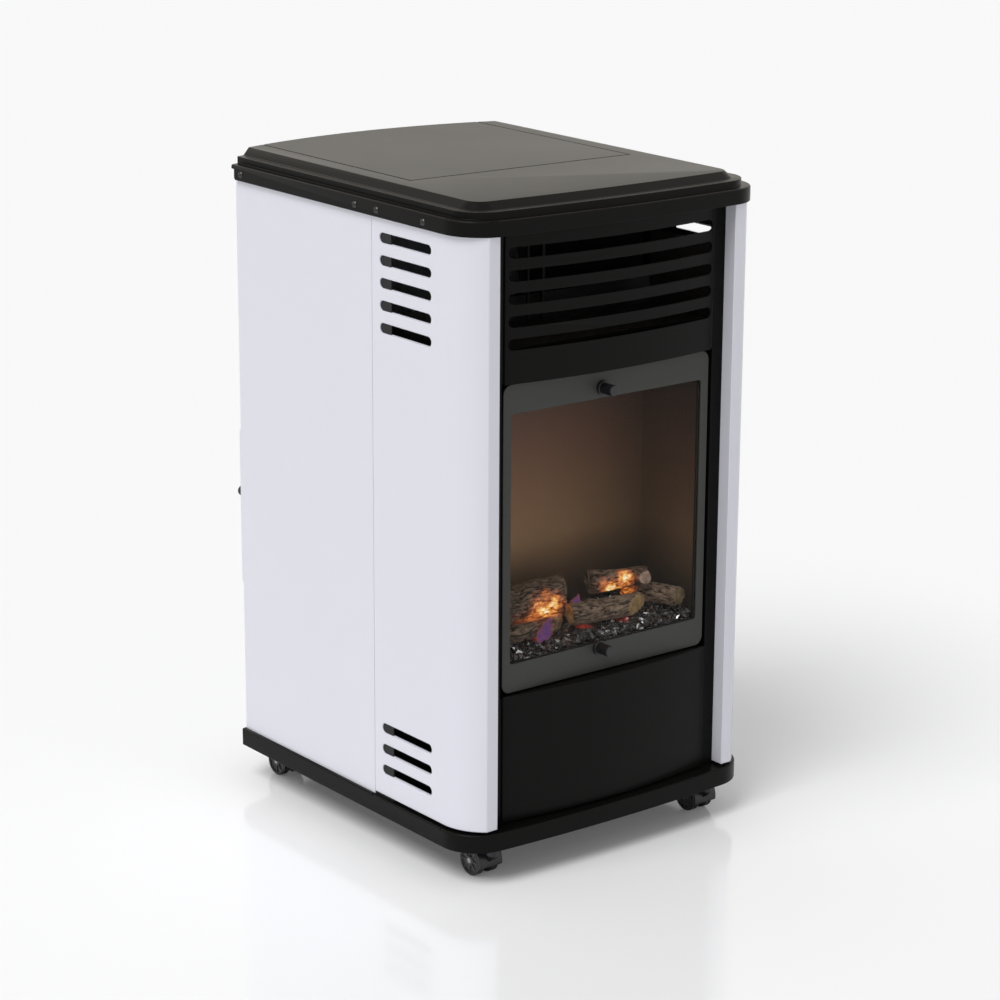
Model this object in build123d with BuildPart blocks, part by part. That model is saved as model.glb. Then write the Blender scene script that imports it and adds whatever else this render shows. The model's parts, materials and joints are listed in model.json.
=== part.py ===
from build123d import *
import math
import os

# Portable gas cabinet heater, in millimetres, +Z up. The origin is on the floor under the middle of the
# cabinet, the fire faces -Y and the gas bottle goes in at +Y.
# Blocks follow the order in which the heater is put together, from the casters up.

# ---------------------------------------------------------------- driving dimensions
# Plan of the base plate and of the top cover: bowed front, straight sides, strongly bowed rear
HALF_WIDTH = 214.6
FRONT_Y = -254.3
REAR_Y = 254.3
FRONT_BOW_RADIUS = 2462.0
REAR_BOW_RADIUS = 661.0
FRONT_CORNER_RADIUS = 48.8
OVERHANG = 4.6
SHEET = 1.2
FIT_GAP = 0.3
RUN_GAP = 0.05

# Base plate
BASE_Z = 42.3
BASE_HEIGHT = 21.7
BASE_WALL = 2.0
BASE_EDGE_ROUND = 1.8
NOTCH_DEPTH = 3.0
NOTCH_WIDTH = 2.5
NOTCH_HEIGHT = 2.5

# Top cover: rim, step, slope and flat top
PANEL_HEIGHT = 688.2
RIM_HEIGHT = 17.7
RIM_WALL = 4.4
RIM_REAR_WALL = 3.4
RIM_EDGE_ROUND = 2.5
RIM_END_INSET = 42.3
RIM_LIP_HEIGHT = 5.1
COVER_SKIN = 2.0
STEP_INSET = 10.9
STEP_HEIGHT = 8.0
SLOPE_INSET = 21.6
SLOPE_RUN = 9.4
SLOPE_HEIGHT = 8.2

# Side panels and corner posts
SEAM_Y = -61.0
SEAM_GAP = 0.8
PANEL_REAR_SETBACK = 2.4942             # from the ends of the rear bow to the side panels' rear edges
STOP_WIDTH = 12.8
STOP_STEP = 8.0
POST_RADIUS = 60.0
POST_ARC_SETBACK = 49.6294              # from the ends of the front bow to the middle of the corner arc
POST_CREASE_DEPTH = 48.7
POST_FLANGE = 15.2
POST_RETURN = 17.6
POST_LIFT = 3.4
JOINER_LAP_FRONT = 35.0
JOINER_LAP_REAR = 25.0
JOINER_SHEET = 1.5

# Louvres
SIDE_SLOT_FRONT_LAP = 111.0
SIDE_SLOT_REAR_LAP = 14.5
SIDE_SLOT_HEIGHT = 11.7
SLOT_PITCH = 25.6
SIDE_SLOT_DROP = 22.9
UPPER_SLOTS = 5
LOWER_SLOTS = 3
LOWER_SLOT_RISE = 35.9
FRONT_SLOT_MARGIN = 4.7
FRONT_SLOT_HEIGHT = 12.8
FRONT_SLOT_DROP = 23.65
FRONT_SLOTS = 5

# Bowed front panels and the chassis behind them
FASCIA_DEPTH = 15.3                     # from the chassis to the middle of the bowed front
FASCIA_BOW = 12.913386                  # how far the fascia stands out at its middle
FASCIA_SIDE_GAP = 17.85
FASCIA_EDGE_ROUND = 2.3
LOWER_PANEL_TOP_ROUND = 2.0
LOWER_PANEL_LIFT = 2.0
FRAME_GAP = 1.5
CHASSIS_LAP = 12.1
RECESS_SIDE_GAP = 3.6
RECESS_MARGIN = 4.0
RECESS_DEPTH = 8.0
UPPER_VENT_MARGIN = 3.0
UPPER_VENT_BOTTOM_LIFT = 41.0
UPPER_VENT_DROP = 24.6

# Glass frame, glass, gasket
FRAME_LIFT = 155.9
FRAME_HEIGHT = 360.1
FRAME_SIDE_GAP = 1.6
FRAME_SHEET = 1.6
FRAME_STAND = 1.15
FRAME_CORNER_RADIUS = 11.0
WINDOW_BORDER = 11.2
WINDOW_LIFT = 33.9
WINDOW_DROP = 34.0
WINDOW_CORNER_RADIUS = 3.0
GLASS_LAP = 2.6
GLASS_THICKNESS = 3.0
GASKET_WIDTH = 8.0
FLANGE_WINDOW_GAP = 0.8

# Thumb-knobs
KNOB_X = -9.5
KNOB_DROP = 21.7
KNOB_RISE = 28.6
KNOB_LENGTH = 22.0
KNOB_RADIUS = 6.5
KNOB_COLLAR_RADIUS = 8.5
KNOB_COLLAR = 4.0
KNOB_RIBS = 16
KNOB_RIB_RADIUS = 0.7
SHANK_RADIUS = 2.0

# Firebox: liner, hood over it, shield behind it
LINER_LAP = 4.0
LINER_DROP = 5.9
LINER_RISE = 6.0
LINER_DEPTH = 117.2
HOOD_STAND = 27.0
HOOD_OVERHANG = 8.0
HOOD_LEG_INSET = 8.0
HOOD_SIDE_HEIGHT = 91.0
SHIELD_STAND = 20.0
SHIELD_RISE = 27.0

# Burner and its probes
TRAY_SIDE_GAP = 8.0
TRAY_FRONT_GAP = 6.2
TRAY_BACK_GAP = 4.0
TRAY_HEIGHT = 24.0
BURNER_DEPTH = 51.0
BURNER_RISE = 13.0
BURNER_RADIUS = 7.5
BURNER_END_GAP = 32.0
BURNER_WALL = 1.2
BURNER_STUB_GAP = 10.0
PORT_PITCH = 12.0
PORT_RADIUS = 1.2
PILOT_GAP = 6.0
PILOT_LENGTH = 20.0
PILOT_RADIUS = 4.5
PILOT_HEAD = 8.0
PROBE_GAP = 18.0
PROBE_HEIGHT = 20.0
ELECTRODE_X = -30.0
ELECTRODE_RADIUS = 2.5
ELECTRODE_HEIGHT = 14.0
ELECTRODE_WIRE_RADIUS = 0.8
THERMOCOUPLE_X = -44.0
THERMOCOUPLE_RADIUS = 2.0

# Coals and logs. A log's ends are fractions of the bed: across from its middle, and back from its front edge
BED_FRONT_RISE = 43.0
BED_BACK_RISE = 48.0
COAL_COLUMNS = 12
COAL_ROWS = 4
COAL_SIZE = 12.0
COAL_TURN = 37.0
LOG_TAPER = 0.92
LOG_EDGE = 1.5
LOG_LEFT_RADIUS = 25.0
LOG_LEFT_STAND = 4.85
LOG_LEFT_FROM = (-1.0, 0.6075)
LOG_LEFT_TO = (-0.0133, 0.6262)
LOG_FRONT_RADIUS = 13.5
LOG_FRONT_STAND = 4.7
LOG_FRONT_FROM = (-0.1, 0.3084)
LOG_FRONT_TO = (0.56, 0.1402)
LOG_RIGHT_RADIUS = 11.5
LOG_RIGHT_STAND = 4.1
LOG_RIGHT_FROM = (0.6933, 0.7009)
LOG_RIGHT_TO = (0.8933, 0.1028)
LOG_TOP_RADIUS = 11.5
LOG_TOP_STAND = 26.6
LOG_TOP_FROM = (0.24, 0.5701)
LOG_TOP_TO = (0.7867, 0.4206)
LOG_LOW_RADIUS = 10.5
LOG_LOW_STAND = 2.35
LOG_LOW_FROM = (-0.9333, 0.2523)
LOG_LOW_TO = (-0.2, 0.285)

# Gas pipes, valve and inlet
PIPE_RADIUS = 3.0
PILOT_PIPE_RADIUS = 2.0
PIPE_BEND = 12.0
PIPE_STAND = 9.4
PIPE_HOLE_GAP = 1.0
BURNER_PIPE_X = 10.0
PILOT_PIPE_X = -12.0
VALVE_SETBACK = 43.7
VALVE_CHAMFER = 3.0
VALVE_HALF_WIDTH = 24.0
VALVE_DEPTH = 30.0
VALVE_HEIGHT = 36.0
SPIGOT_RADIUS = 4.0
SPIGOT_LENGTH = 22.0
SPIGOT_BORE = 2.0
INLET_NUT = 6.0
INLET_NUT_RADIUS = 8.0

# Well under the lid, with the control knob and the igniter
WELL_DEPTH = 22.2
WELL_SHEET = 2.0
WELL_WALL_DROP = 1.9
SPINDLE_RADIUS = 4.0
SPINDLE_SEAT = 8.0
CONTROL_KNOB_RADIUS = 19.0
CONTROL_KNOB_HEIGHT = 24.0
CONTROL_SKIRT = 9.0
CONTROL_GRIP = 9.0
IGNITER_X = -75.0
IGNITER_RADIUS = 8.0
IGNITER_TRAVEL = 6.0
IGNITER_PROUD = 9.0
IGNITER_SEAT = 14.0
IGNITER_ROUND = 1.5
IGNITER_BODY_RADIUS = 11.0
IGNITER_BODY_HEIGHT = 38.0

# Lid in the top cover
LID_SIDE_MARGIN = 25.0
LID_FRONT_LAP = 2.9
LID_GAP = 1.8
LID_DEPTH = 10.1
LID_WALL = 2.0
LID_AXIS_BACK = 8.0
LID_AXIS_DOWN = 4.0
LID_PIN_RADIUS = 1.6
LID_REST_GAP = 1.5

# Rear door and its latch
DOOR_INSET = 6.0
DOOR_SIDE_GAP = 1.3
DOOR_END_GAP = 1.6
DOOR_SHEET = 1.2
DOOR_SETBACK = 13.0
DOOR_AXIS_INSET = 10.0
DOOR_AXIS_SETBACK = 4.0
DOOR_PIN_RADIUS = 2.5
DOOR_PIN_REACH = 7.0
DOOR_FLANGE = 2.0
DOOR_EAR = 16.0
DOOR_EAR_REACH = 8.5
BOSS_LIFT = 179.0
BOSS_HEIGHT = 209.0
BOSS_INSET = 17.5
BOSS_WIDTH = 25.0
BOSS_STAND = 25.5
BOSS_ROUND = 2.5
PIN_HEAD = 1.5
LATCH_DROP = 90.0
LATCH_KNOB_LENGTH = 15.0
CAM_LENGTH = 13.0
CAM_WIDTH = 9.0
CAM_THICKNESS = 2.0
CAM_STAND = 3.4
CATCH_THICKNESS = 2.0
CATCH_HEIGHT = 30.0
CATCH_REACH = 9.0

# Casters
CASTER_SIDE_INSET = 50.6
CASTER_FRONT_INSET = 26.8
CASTER_REAR_INSET = 81.3
CASTER_TRAIL = 25.0
WHEEL_RADIUS = 18.0
WHEEL_WIDTH = 11.0
WHEEL_INNER_GAP = 4.5
WEB_HALF_WIDTH = 3.5
TYRE_ROUND = 1.5
AXLE_RADIUS = 3.0
HOOD_RADIUS = 21.5
HOOD_WALL = 2.0
HOOD_SPAN = 145.0
HOOD_START = 47.0
HOOD_LAP = 1.0
WEB_RADIUS = 11.0
STEM_RADIUS = 4.0
STEM_END_GAP = 2.0
STEM_BOSS_RADIUS = 8.5
STEM_BOSS_HEIGHT = 12.0
SOCKET_RADIUS = 9.0

# Rim screws: places along each side, as distances behind the front of the cabinet
SCREW_RADIUS = 4.0
SCREW_HEIGHT = 2.2
SCREW_RISE = 7.8
SCREW_SETBACKS = (91.5, 178.6, 220.0, 453.0)

# ---------------------------------------------------------------- derived sizes
def bow_depth(radius, half_width):
    """How far a bow of this radius stands out over its ends."""
    return radius - math.sqrt(radius ** 2 - half_width ** 2)


# Heights
BASE_TOP = BASE_Z + BASE_HEIGHT
SOCKET_TOP = BASE_TOP - BASE_WALL
RIM_BOTTOM = BASE_TOP + PANEL_HEIGHT
LIP_Z = RIM_BOTTOM + RIM_HEIGHT
STEP_TOP = LIP_Z + STEP_HEIGHT
TOP_Z = STEP_TOP + SLOPE_HEIGHT
PANEL_TOP = LIP_Z - COVER_SKIN - FIT_GAP
FRAME_BOTTOM = BASE_TOP + FRAME_LIFT
FRAME_TOP = FRAME_BOTTOM + FRAME_HEIGHT
WINDOW_HEIGHT = FRAME_HEIGHT - WINDOW_LIFT - WINDOW_DROP
WINDOW_BOTTOM = FRAME_BOTTOM + WINDOW_LIFT
WINDOW_TOP = WINDOW_BOTTOM + WINDOW_HEIGHT
WINDOW_MID_Z = (WINDOW_BOTTOM + WINDOW_TOP) / 2
KNOB_TOP_Z = FRAME_TOP - KNOB_DROP
KNOB_BOTTOM_Z = FRAME_BOTTOM + KNOB_RISE
LOUVRE_BOTTOM = FRAME_TOP + FRAME_GAP
LOWER_BOTTOM = BASE_TOP + LOWER_PANEL_LIFT
LOWER_TOP = FRAME_BOTTOM - FRAME_GAP
FRONT_SLOT_TOP_MID = RIM_BOTTOM - FRONT_SLOT_DROP
SIDE_SLOT_TOP_MID = RIM_BOTTOM - SIDE_SLOT_DROP
VENT_BOTTOM = FRAME_TOP + UPPER_VENT_BOTTOM_LIFT
UPPER_VENT_HEIGHT = PANEL_TOP - UPPER_VENT_DROP - VENT_BOTTOM
LINER_BOTTOM_Z = FRAME_BOTTOM - LINER_DROP
LINER_TOP_Z = FRAME_TOP + LINER_RISE
HOOD_Z = LINER_TOP_Z + HOOD_STAND
SHIELD_TOP_Z = HOOD_Z + SHIELD_RISE
BURNER_Z = LINER_BOTTOM_Z + BURNER_RISE
BED_FRONT_Z = LINER_BOTTOM_Z + BED_FRONT_RISE
BED_BACK_Z = LINER_BOTTOM_Z + BED_BACK_RISE
WELL_FLOOR_Z = RIM_BOTTOM - WELL_DEPTH
WELL_WALL_Z = LIP_Z - WELL_WALL_DROP
LID_AXIS_Z = TOP_Z - LID_AXIS_DOWN
LID_BOTTOM = TOP_Z - LID_DEPTH
DOOR_BOTTOM = BASE_TOP + DOOR_END_GAP
DOOR_TOP = RIM_BOTTOM - DOOR_END_GAP
BOSS_BOTTOM_Z = BASE_TOP + BOSS_LIFT
BOSS_TOP_Z = BOSS_BOTTOM_Z + BOSS_HEIGHT
LATCH_Z = BOSS_TOP_Z - LATCH_DROP

# Across the cabinet, from its middle
TOP_INSET = SLOPE_INSET + SLOPE_RUN
BODY_HALF_WIDTH = HALF_WIDTH - OVERHANG
POST_ARC_X = BODY_HALF_WIDTH - POST_RADIUS
POST_CREASE_X = POST_ARC_X + math.sqrt(POST_RADIUS ** 2 - POST_CREASE_DEPTH ** 2)
POST_INNER_X = POST_CREASE_X - POST_FLANGE
CHASSIS_HALF_WIDTH = POST_INNER_X + CHASSIS_LAP
FASCIA_HALF_WIDTH = POST_INNER_X - FASCIA_SIDE_GAP
FASCIA_RADIUS = (FASCIA_HALF_WIDTH ** 2 + FASCIA_BOW ** 2) / (2 * FASCIA_BOW)
FRONT_SLOT_HALF_LENGTH = FASCIA_HALF_WIDTH - FRONT_SLOT_MARGIN
UPPER_VENT_HALF_WIDTH = FASCIA_HALF_WIDTH - UPPER_VENT_MARGIN
FRAME_HALF_WIDTH = FASCIA_HALF_WIDTH - FRAME_SIDE_GAP
RECESS_HALF_WIDTH = FRAME_HALF_WIDTH + RECESS_SIDE_GAP
WINDOW_HALF_WIDTH = FRAME_HALF_WIDTH - WINDOW_BORDER
FLANGE_WINDOW_HALF_WIDTH = WINDOW_HALF_WIDTH + FLANGE_WINDOW_GAP
LINER_HALF_WIDTH = RECESS_HALF_WIDTH + LINER_LAP
HOOD_HALF_WIDTH = LINER_HALF_WIDTH + HOOD_OVERHANG
HOOD_LEG_X = LINER_HALF_WIDTH - HOOD_LEG_INSET
TRAY_HALF_WIDTH = LINER_HALF_WIDTH - TRAY_SIDE_GAP
BURNER_HALF_LENGTH = TRAY_HALF_WIDTH - BURNER_END_GAP
LID_HALF_WIDTH = HALF_WIDTH - TOP_INSET - LID_SIDE_MARGIN
WELL_HALF_WIDTH = LID_HALF_WIDTH + LID_GAP
DOOR_HALF_WIDTH = BODY_HALF_WIDTH - SHEET - DOOR_SIDE_GAP
DOOR_AXIS_X = BODY_HALF_WIDTH - DOOR_AXIS_INSET
BOSS_X = BOSS_INSET - BODY_HALF_WIDTH
CASTER_X = HALF_WIDTH - CASTER_SIDE_INSET

# Depths, from the front
CASTER_FRONT_Y = FRONT_Y + CASTER_FRONT_INSET
CASTER_REAR_Y = REAR_Y - CASTER_REAR_INSET
POST_ARC_Y = FRONT_Y + bow_depth(FRONT_BOW_RADIUS, HALF_WIDTH) + POST_ARC_SETBACK
POST_FRONT_Y = POST_ARC_Y - POST_CREASE_DEPTH
CHASSIS_Y = POST_FRONT_Y + POST_RETURN
FASCIA_Y = CHASSIS_Y - FASCIA_DEPTH
SIDE_SLOT_FRONT_Y = SEAM_Y - SIDE_SLOT_FRONT_LAP
SIDE_SLOT_REAR_Y = SEAM_Y - SIDE_SLOT_REAR_LAP
JOINER_FRONT_Y = SEAM_Y - JOINER_LAP_FRONT
JOINER_REAR_Y = SEAM_Y + JOINER_LAP_REAR
FRAME_FACE_Y = CHASSIS_Y + FRAME_STAND
GLASS_FACE_Y = FRAME_FACE_Y + FRAME_SHEET
GASKET_FACE_Y = GLASS_FACE_Y + GLASS_THICKNESS
FLANGE_Y = CHASSIS_Y + RECESS_DEPTH
FLANGE_BACK_Y = FLANGE_Y + SHEET
LINER_BACK_Y = FLANGE_BACK_Y + LINER_DEPTH
SHIELD_Y = LINER_BACK_Y + SHIELD_STAND
PIPE_Y = LINER_BACK_Y + PIPE_STAND
TRAY_FRONT_Y = FLANGE_BACK_Y + TRAY_FRONT_GAP
TRAY_BACK_Y = LINER_BACK_Y - TRAY_BACK_GAP
BURNER_Y = TRAY_FRONT_Y + BURNER_DEPTH
BURNER_STUB_END_Y = TRAY_BACK_Y - BURNER_STUB_GAP
PILOT_END_Y = TRAY_BACK_Y - PILOT_GAP
PROBE_Y = TRAY_BACK_Y - PROBE_GAP
LID_FRONT_Y = SEAM_Y - LID_FRONT_LAP
LID_AXIS_Y = LID_FRONT_Y + LID_AXIS_BACK
WELL_FRONT_Y = LID_FRONT_Y - LID_GAP
VALVE_Y = WELL_FRONT_Y + VALVE_SETBACK
PANEL_REAR_Y = REAR_Y - bow_depth(REAR_BOW_RADIUS, HALF_WIDTH) - PANEL_REAR_SETBACK
DOOR_AXIS_Y = PANEL_REAR_Y - DOOR_AXIS_SETBACK
DOOR_FRONT_Y = PANEL_REAR_Y - DOOR_SETBACK
STOP_Y = DOOR_FRONT_Y - STOP_STEP
WELL_REAR_Y = STOP_Y
BOSS_FACE_Y = DOOR_FRONT_Y + BOSS_STAND
CAM_FACE_Y = DOOR_FRONT_Y - CAM_STAND
FAR = 2 * REAR_Y                       # reach of cutting and trimming blocks, beyond every piece


def plan(inset, rear_inset=None):
    """The cabinet's outline from above, drawn in by inset, and by rear_inset at the bowed rear."""
    rear = inset if rear_inset is None else rear_inset
    with BuildSketch() as outline:
        with Locations((0, FRONT_Y + FRONT_BOW_RADIUS)):
            Circle(FRONT_BOW_RADIUS - inset)
        with Locations((0, REAR_Y - REAR_BOW_RADIUS)):
            Circle(REAR_BOW_RADIUS - rear, mode=Mode.INTERSECT)
        Rectangle(2 * (HALF_WIDTH - inset), 2 * FAR, mode=Mode.INTERSECT)
        fillet(outline.vertices().group_by(Axis.Y)[0], FRONT_CORNER_RADIUS - inset)
    return outline.sketch


def panel_arc(inset):
    """Plan of the bowed front panels, back to the plane of the chassis, drawn in by inset."""
    with BuildSketch() as outline:
        with Locations((0, FASCIA_Y + FASCIA_RADIUS)):
            Circle(FASCIA_RADIUS - inset)
        with Locations((0, (FASCIA_Y + CHASSIS_Y) / 2)):
            Rectangle(2 * (FASCIA_HALF_WIDTH - inset), CHASSIS_Y - FASCIA_Y, mode=Mode.INTERSECT)
    return outline.sketch


def thumb_knob(length, shank):
    """Ribbed thumb-knob on a collar, standing along +Z from z = 0, with its shank below."""
    with BuildPart() as knob:
        Cylinder(KNOB_COLLAR_RADIUS, KNOB_COLLAR, align=(Align.CENTER, Align.CENTER, Align.MIN))
        fillet(knob.edges().group_by(Axis.Z)[-1], KNOB_RIB_RADIUS)
        Cylinder(KNOB_RADIUS, length, align=(Align.CENTER, Align.CENTER, Align.MIN))
        fillet(knob.faces().sort_by(Axis.Z)[-1].edges(), 2 * KNOB_RIB_RADIUS)
        with Locations((0, 0, KNOB_COLLAR)):
            with PolarLocations(KNOB_RADIUS, KNOB_RIBS):
                Cylinder(KNOB_RIB_RADIUS, length, mode=Mode.SUBTRACT,
                         align=(Align.CENTER, Align.CENTER, Align.MIN))
        Cylinder(SHANK_RADIUS, shank, align=(Align.CENTER, Align.CENTER, Align.MAX))
    return knob.part


def log_between(start, end, radius):
    """A round ceramic log from start to end, slightly thinner at its far end, with dressed edges."""
    line = Vector(*end) - Vector(*start)
    axis = Plane(origin=start, z_dir=line)
    with BuildPart() as log:
        with BuildSketch(axis):
            Circle(radius)
        with BuildSketch(axis.offset(line.length)):
            Circle(radius * LOG_TAPER)
        loft()
        chamfer(log.edges().filter_by(GeomType.CIRCLE), LOG_EDGE)
    return log.part


def pipe_along(points, radius, bend):
    """A rigid pipe along a route, with one bend radius at its corners."""
    with BuildPart() as pipe:
        with BuildLine() as route:
            FilletPolyline(*points, radius=bend)
        with BuildSketch(Plane(origin=route.line @ 0, z_dir=route.line % 0)):
            Circle(radius)
        sweep(path=route.line)
    return pipe.part


def bed_height(y):
    """Top of the coal bed at a depth y in the firebox."""
    depth = (y - TRAY_FRONT_Y) / (TRAY_BACK_Y - TRAY_FRONT_Y)
    return BED_FRONT_Z + depth * (BED_BACK_Z - BED_FRONT_Z)


def on_bed(across, back, z):
    """A point over the coal bed, from fractions across and back, at height z."""
    return across * TRAY_HALF_WIDTH, TRAY_FRONT_Y + back * (TRAY_BACK_Y - TRAY_FRONT_Y), z


def lay_log(name, start, end, radius, stand):
    """Builds a log over the coals, its underside standing over the bed at its start, and saves it."""
    log_z = bed_height(on_bed(*start, 0)[1]) + stand + radius
    log = log_between(on_bed(*start, log_z), on_bed(*end, log_z), radius)
    log.label = name
    export_step(log, f"parts/{name}.step")


os.makedirs("parts", exist_ok=True)

# ---------------------------------------------------------------- base plate and caster sockets
with BuildPart() as base_plate:
    with BuildSketch(Plane.XY.offset(BASE_Z)):
        add(plan(0))
    extrude(amount=BASE_HEIGHT)
    fillet(base_plate.faces().sort_by(Axis.Z)[-1].edges(), BASE_EDGE_ROUND)
    with BuildSketch(Plane.XY.offset(BASE_Z)):
        add(plan(BASE_WALL))
    extrude(amount=BASE_HEIGHT - BASE_WALL, mode=Mode.SUBTRACT)
    with Locations((DOOR_AXIS_X, DOOR_AXIS_Y, BASE_TOP)):
        Cylinder(DOOR_PIN_RADIUS + RUN_GAP, 2 * BASE_HEIGHT, mode=Mode.SUBTRACT)
    # Notches in the overhang, where the post starts and where it turns the corner
    with Locations(*[(side * HALF_WIDTH, y, BASE_TOP) for side in (-1, 1) for y in (SEAM_Y, POST_ARC_Y)]):
        Box(2 * NOTCH_DEPTH, NOTCH_WIDTH, 2 * NOTCH_HEIGHT, mode=Mode.SUBTRACT)
base_plate.part.label = "base_plate"
export_step(base_plate.part, "parts/base_plate.step")

caster_places = [(side * CASTER_X, y) for y in (CASTER_FRONT_Y, CASTER_REAR_Y) for side in (-1, 1)]

with BuildPart() as caster_sockets:
    with BuildSketch(Plane.XY.offset(BASE_Z)):
        with Locations(*caster_places):
            Circle(SOCKET_RADIUS)
            Circle(STEM_RADIUS + RUN_GAP, mode=Mode.SUBTRACT)
    extrude(amount=SOCKET_TOP - BASE_Z)
caster_sockets.part.label = "caster_sockets"
export_step(caster_sockets.part, "parts/caster_sockets.step")

# ---------------------------------------------------------------- side panels, posts, joiners
for side, hand in ((-1, "left"), (1, "right")):
    mirror_x = side * BODY_HALF_WIDTH

    # Side panel: flat sheet
    with BuildPart() as side_panel:
        with BuildSketch(Plane.XY.offset(BASE_TOP)):
            with Locations((side * (BODY_HALF_WIDTH - SHEET / 2), (SEAM_Y + SEAM_GAP + PANEL_REAR_Y) / 2)):
                Rectangle(SHEET, PANEL_REAR_Y - SEAM_Y - SEAM_GAP)
        extrude(amount=PANEL_TOP - BASE_TOP)
    side_panel.part.label = f"side_panel_{hand}"
    export_step(side_panel.part, f"parts/side_panel_{hand}.step")

    # Corner post: one folded sheet round the front corner, louvred on its flat side
    crease = (side * POST_CREASE_X, POST_FRONT_Y)
    half_turn = math.atan2(POST_CREASE_DEPTH, POST_CREASE_X - POST_ARC_X) / 2
    arc_middle = (side * (POST_ARC_X + POST_RADIUS * math.cos(half_turn)),
                  POST_ARC_Y - POST_RADIUS * math.sin(half_turn))
    with BuildPart() as corner_post:
        with BuildSketch(Plane.XY.offset(BASE_TOP + POST_LIFT)):
            with BuildLine():
                with BuildLine(mode=Mode.PRIVATE) as fold:
                    Line((mirror_x, SEAM_Y), (mirror_x, POST_ARC_Y))
                    ThreePointArc((mirror_x, POST_ARC_Y), arc_middle, crease)
                    Line(crease, (side * POST_INNER_X, POST_FRONT_Y))
                    Line((side * POST_INNER_X, POST_FRONT_Y), (side * POST_INNER_X, CHASSIS_Y))
                inner = Side.RIGHT if side > 0 else Side.LEFT
                offset(fold.line, amount=SHEET, side=inner, closed=True, kind=Kind.INTERSECTION)
            make_face()
        extrude(amount=PANEL_TOP - BASE_TOP - POST_LIFT)
        slot_middle_y = (SIDE_SLOT_FRONT_Y + SIDE_SLOT_REAR_Y) / 2
        upper = [SIDE_SLOT_TOP_MID - SLOT_PITCH * row for row in range(UPPER_SLOTS)]
        lower = [BASE_TOP + LOWER_SLOT_RISE + SLOT_PITCH * row for row in range(LOWER_SLOTS)]
        with BuildSketch(Plane.YZ.offset(mirror_x)):
            with Locations(*[(slot_middle_y, z) for z in upper + lower]):
                SlotOverall(SIDE_SLOT_REAR_Y - SIDE_SLOT_FRONT_Y, SIDE_SLOT_HEIGHT)
        extrude(amount=2 * SHEET, both=True, mode=Mode.SUBTRACT)
    corner_post.part.label = f"corner_post_{hand}"
    export_step(corner_post.part, f"parts/corner_post_{hand}.step")

    # Joiner: strip behind the seam that ties the post to the side panel
    with BuildPart() as panel_joiner:
        with BuildSketch(Plane.XY.offset(BASE_TOP)):
            with Locations((side * (BODY_HALF_WIDTH - SHEET - JOINER_SHEET / 2),
                            (JOINER_FRONT_Y + JOINER_REAR_Y) / 2)):
                Rectangle(JOINER_SHEET, JOINER_REAR_Y - JOINER_FRONT_Y)
        extrude(amount=PANEL_TOP - BASE_TOP)
    panel_joiner.part.label = f"panel_joiner_{hand}"
    export_step(panel_joiner.part, f"parts/panel_joiner_{hand}.step")

# Brackets for the rear door: a stop along each side panel, and the ear with the upper hinge hole
with BuildPart() as door_brackets:
    with BuildSketch(Plane.XY.offset(BASE_TOP)):
        with Locations(*[(side * (BODY_HALF_WIDTH - SHEET - STOP_WIDTH / 2), STOP_Y - SHEET / 2)
                         for side in (-1, 1)]):
            Rectangle(STOP_WIDTH, SHEET)
    extrude(amount=PANEL_TOP - BASE_TOP)
    with Locations((BODY_HALF_WIDTH - SHEET, DOOR_AXIS_Y, RIM_BOTTOM)):
        Box(DOOR_EAR - SHEET, DOOR_EAR_REACH, DOOR_FLANGE, align=(Align.MAX, Align.CENTER, Align.CENTER))
    with Locations((DOOR_AXIS_X, DOOR_AXIS_Y, RIM_BOTTOM)):
        Cylinder(DOOR_PIN_RADIUS + RUN_GAP, 2 * DOOR_FLANGE, mode=Mode.SUBTRACT)
door_brackets.part.label = "door_brackets"
export_step(door_brackets.part, "parts/door_brackets.step")

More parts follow.
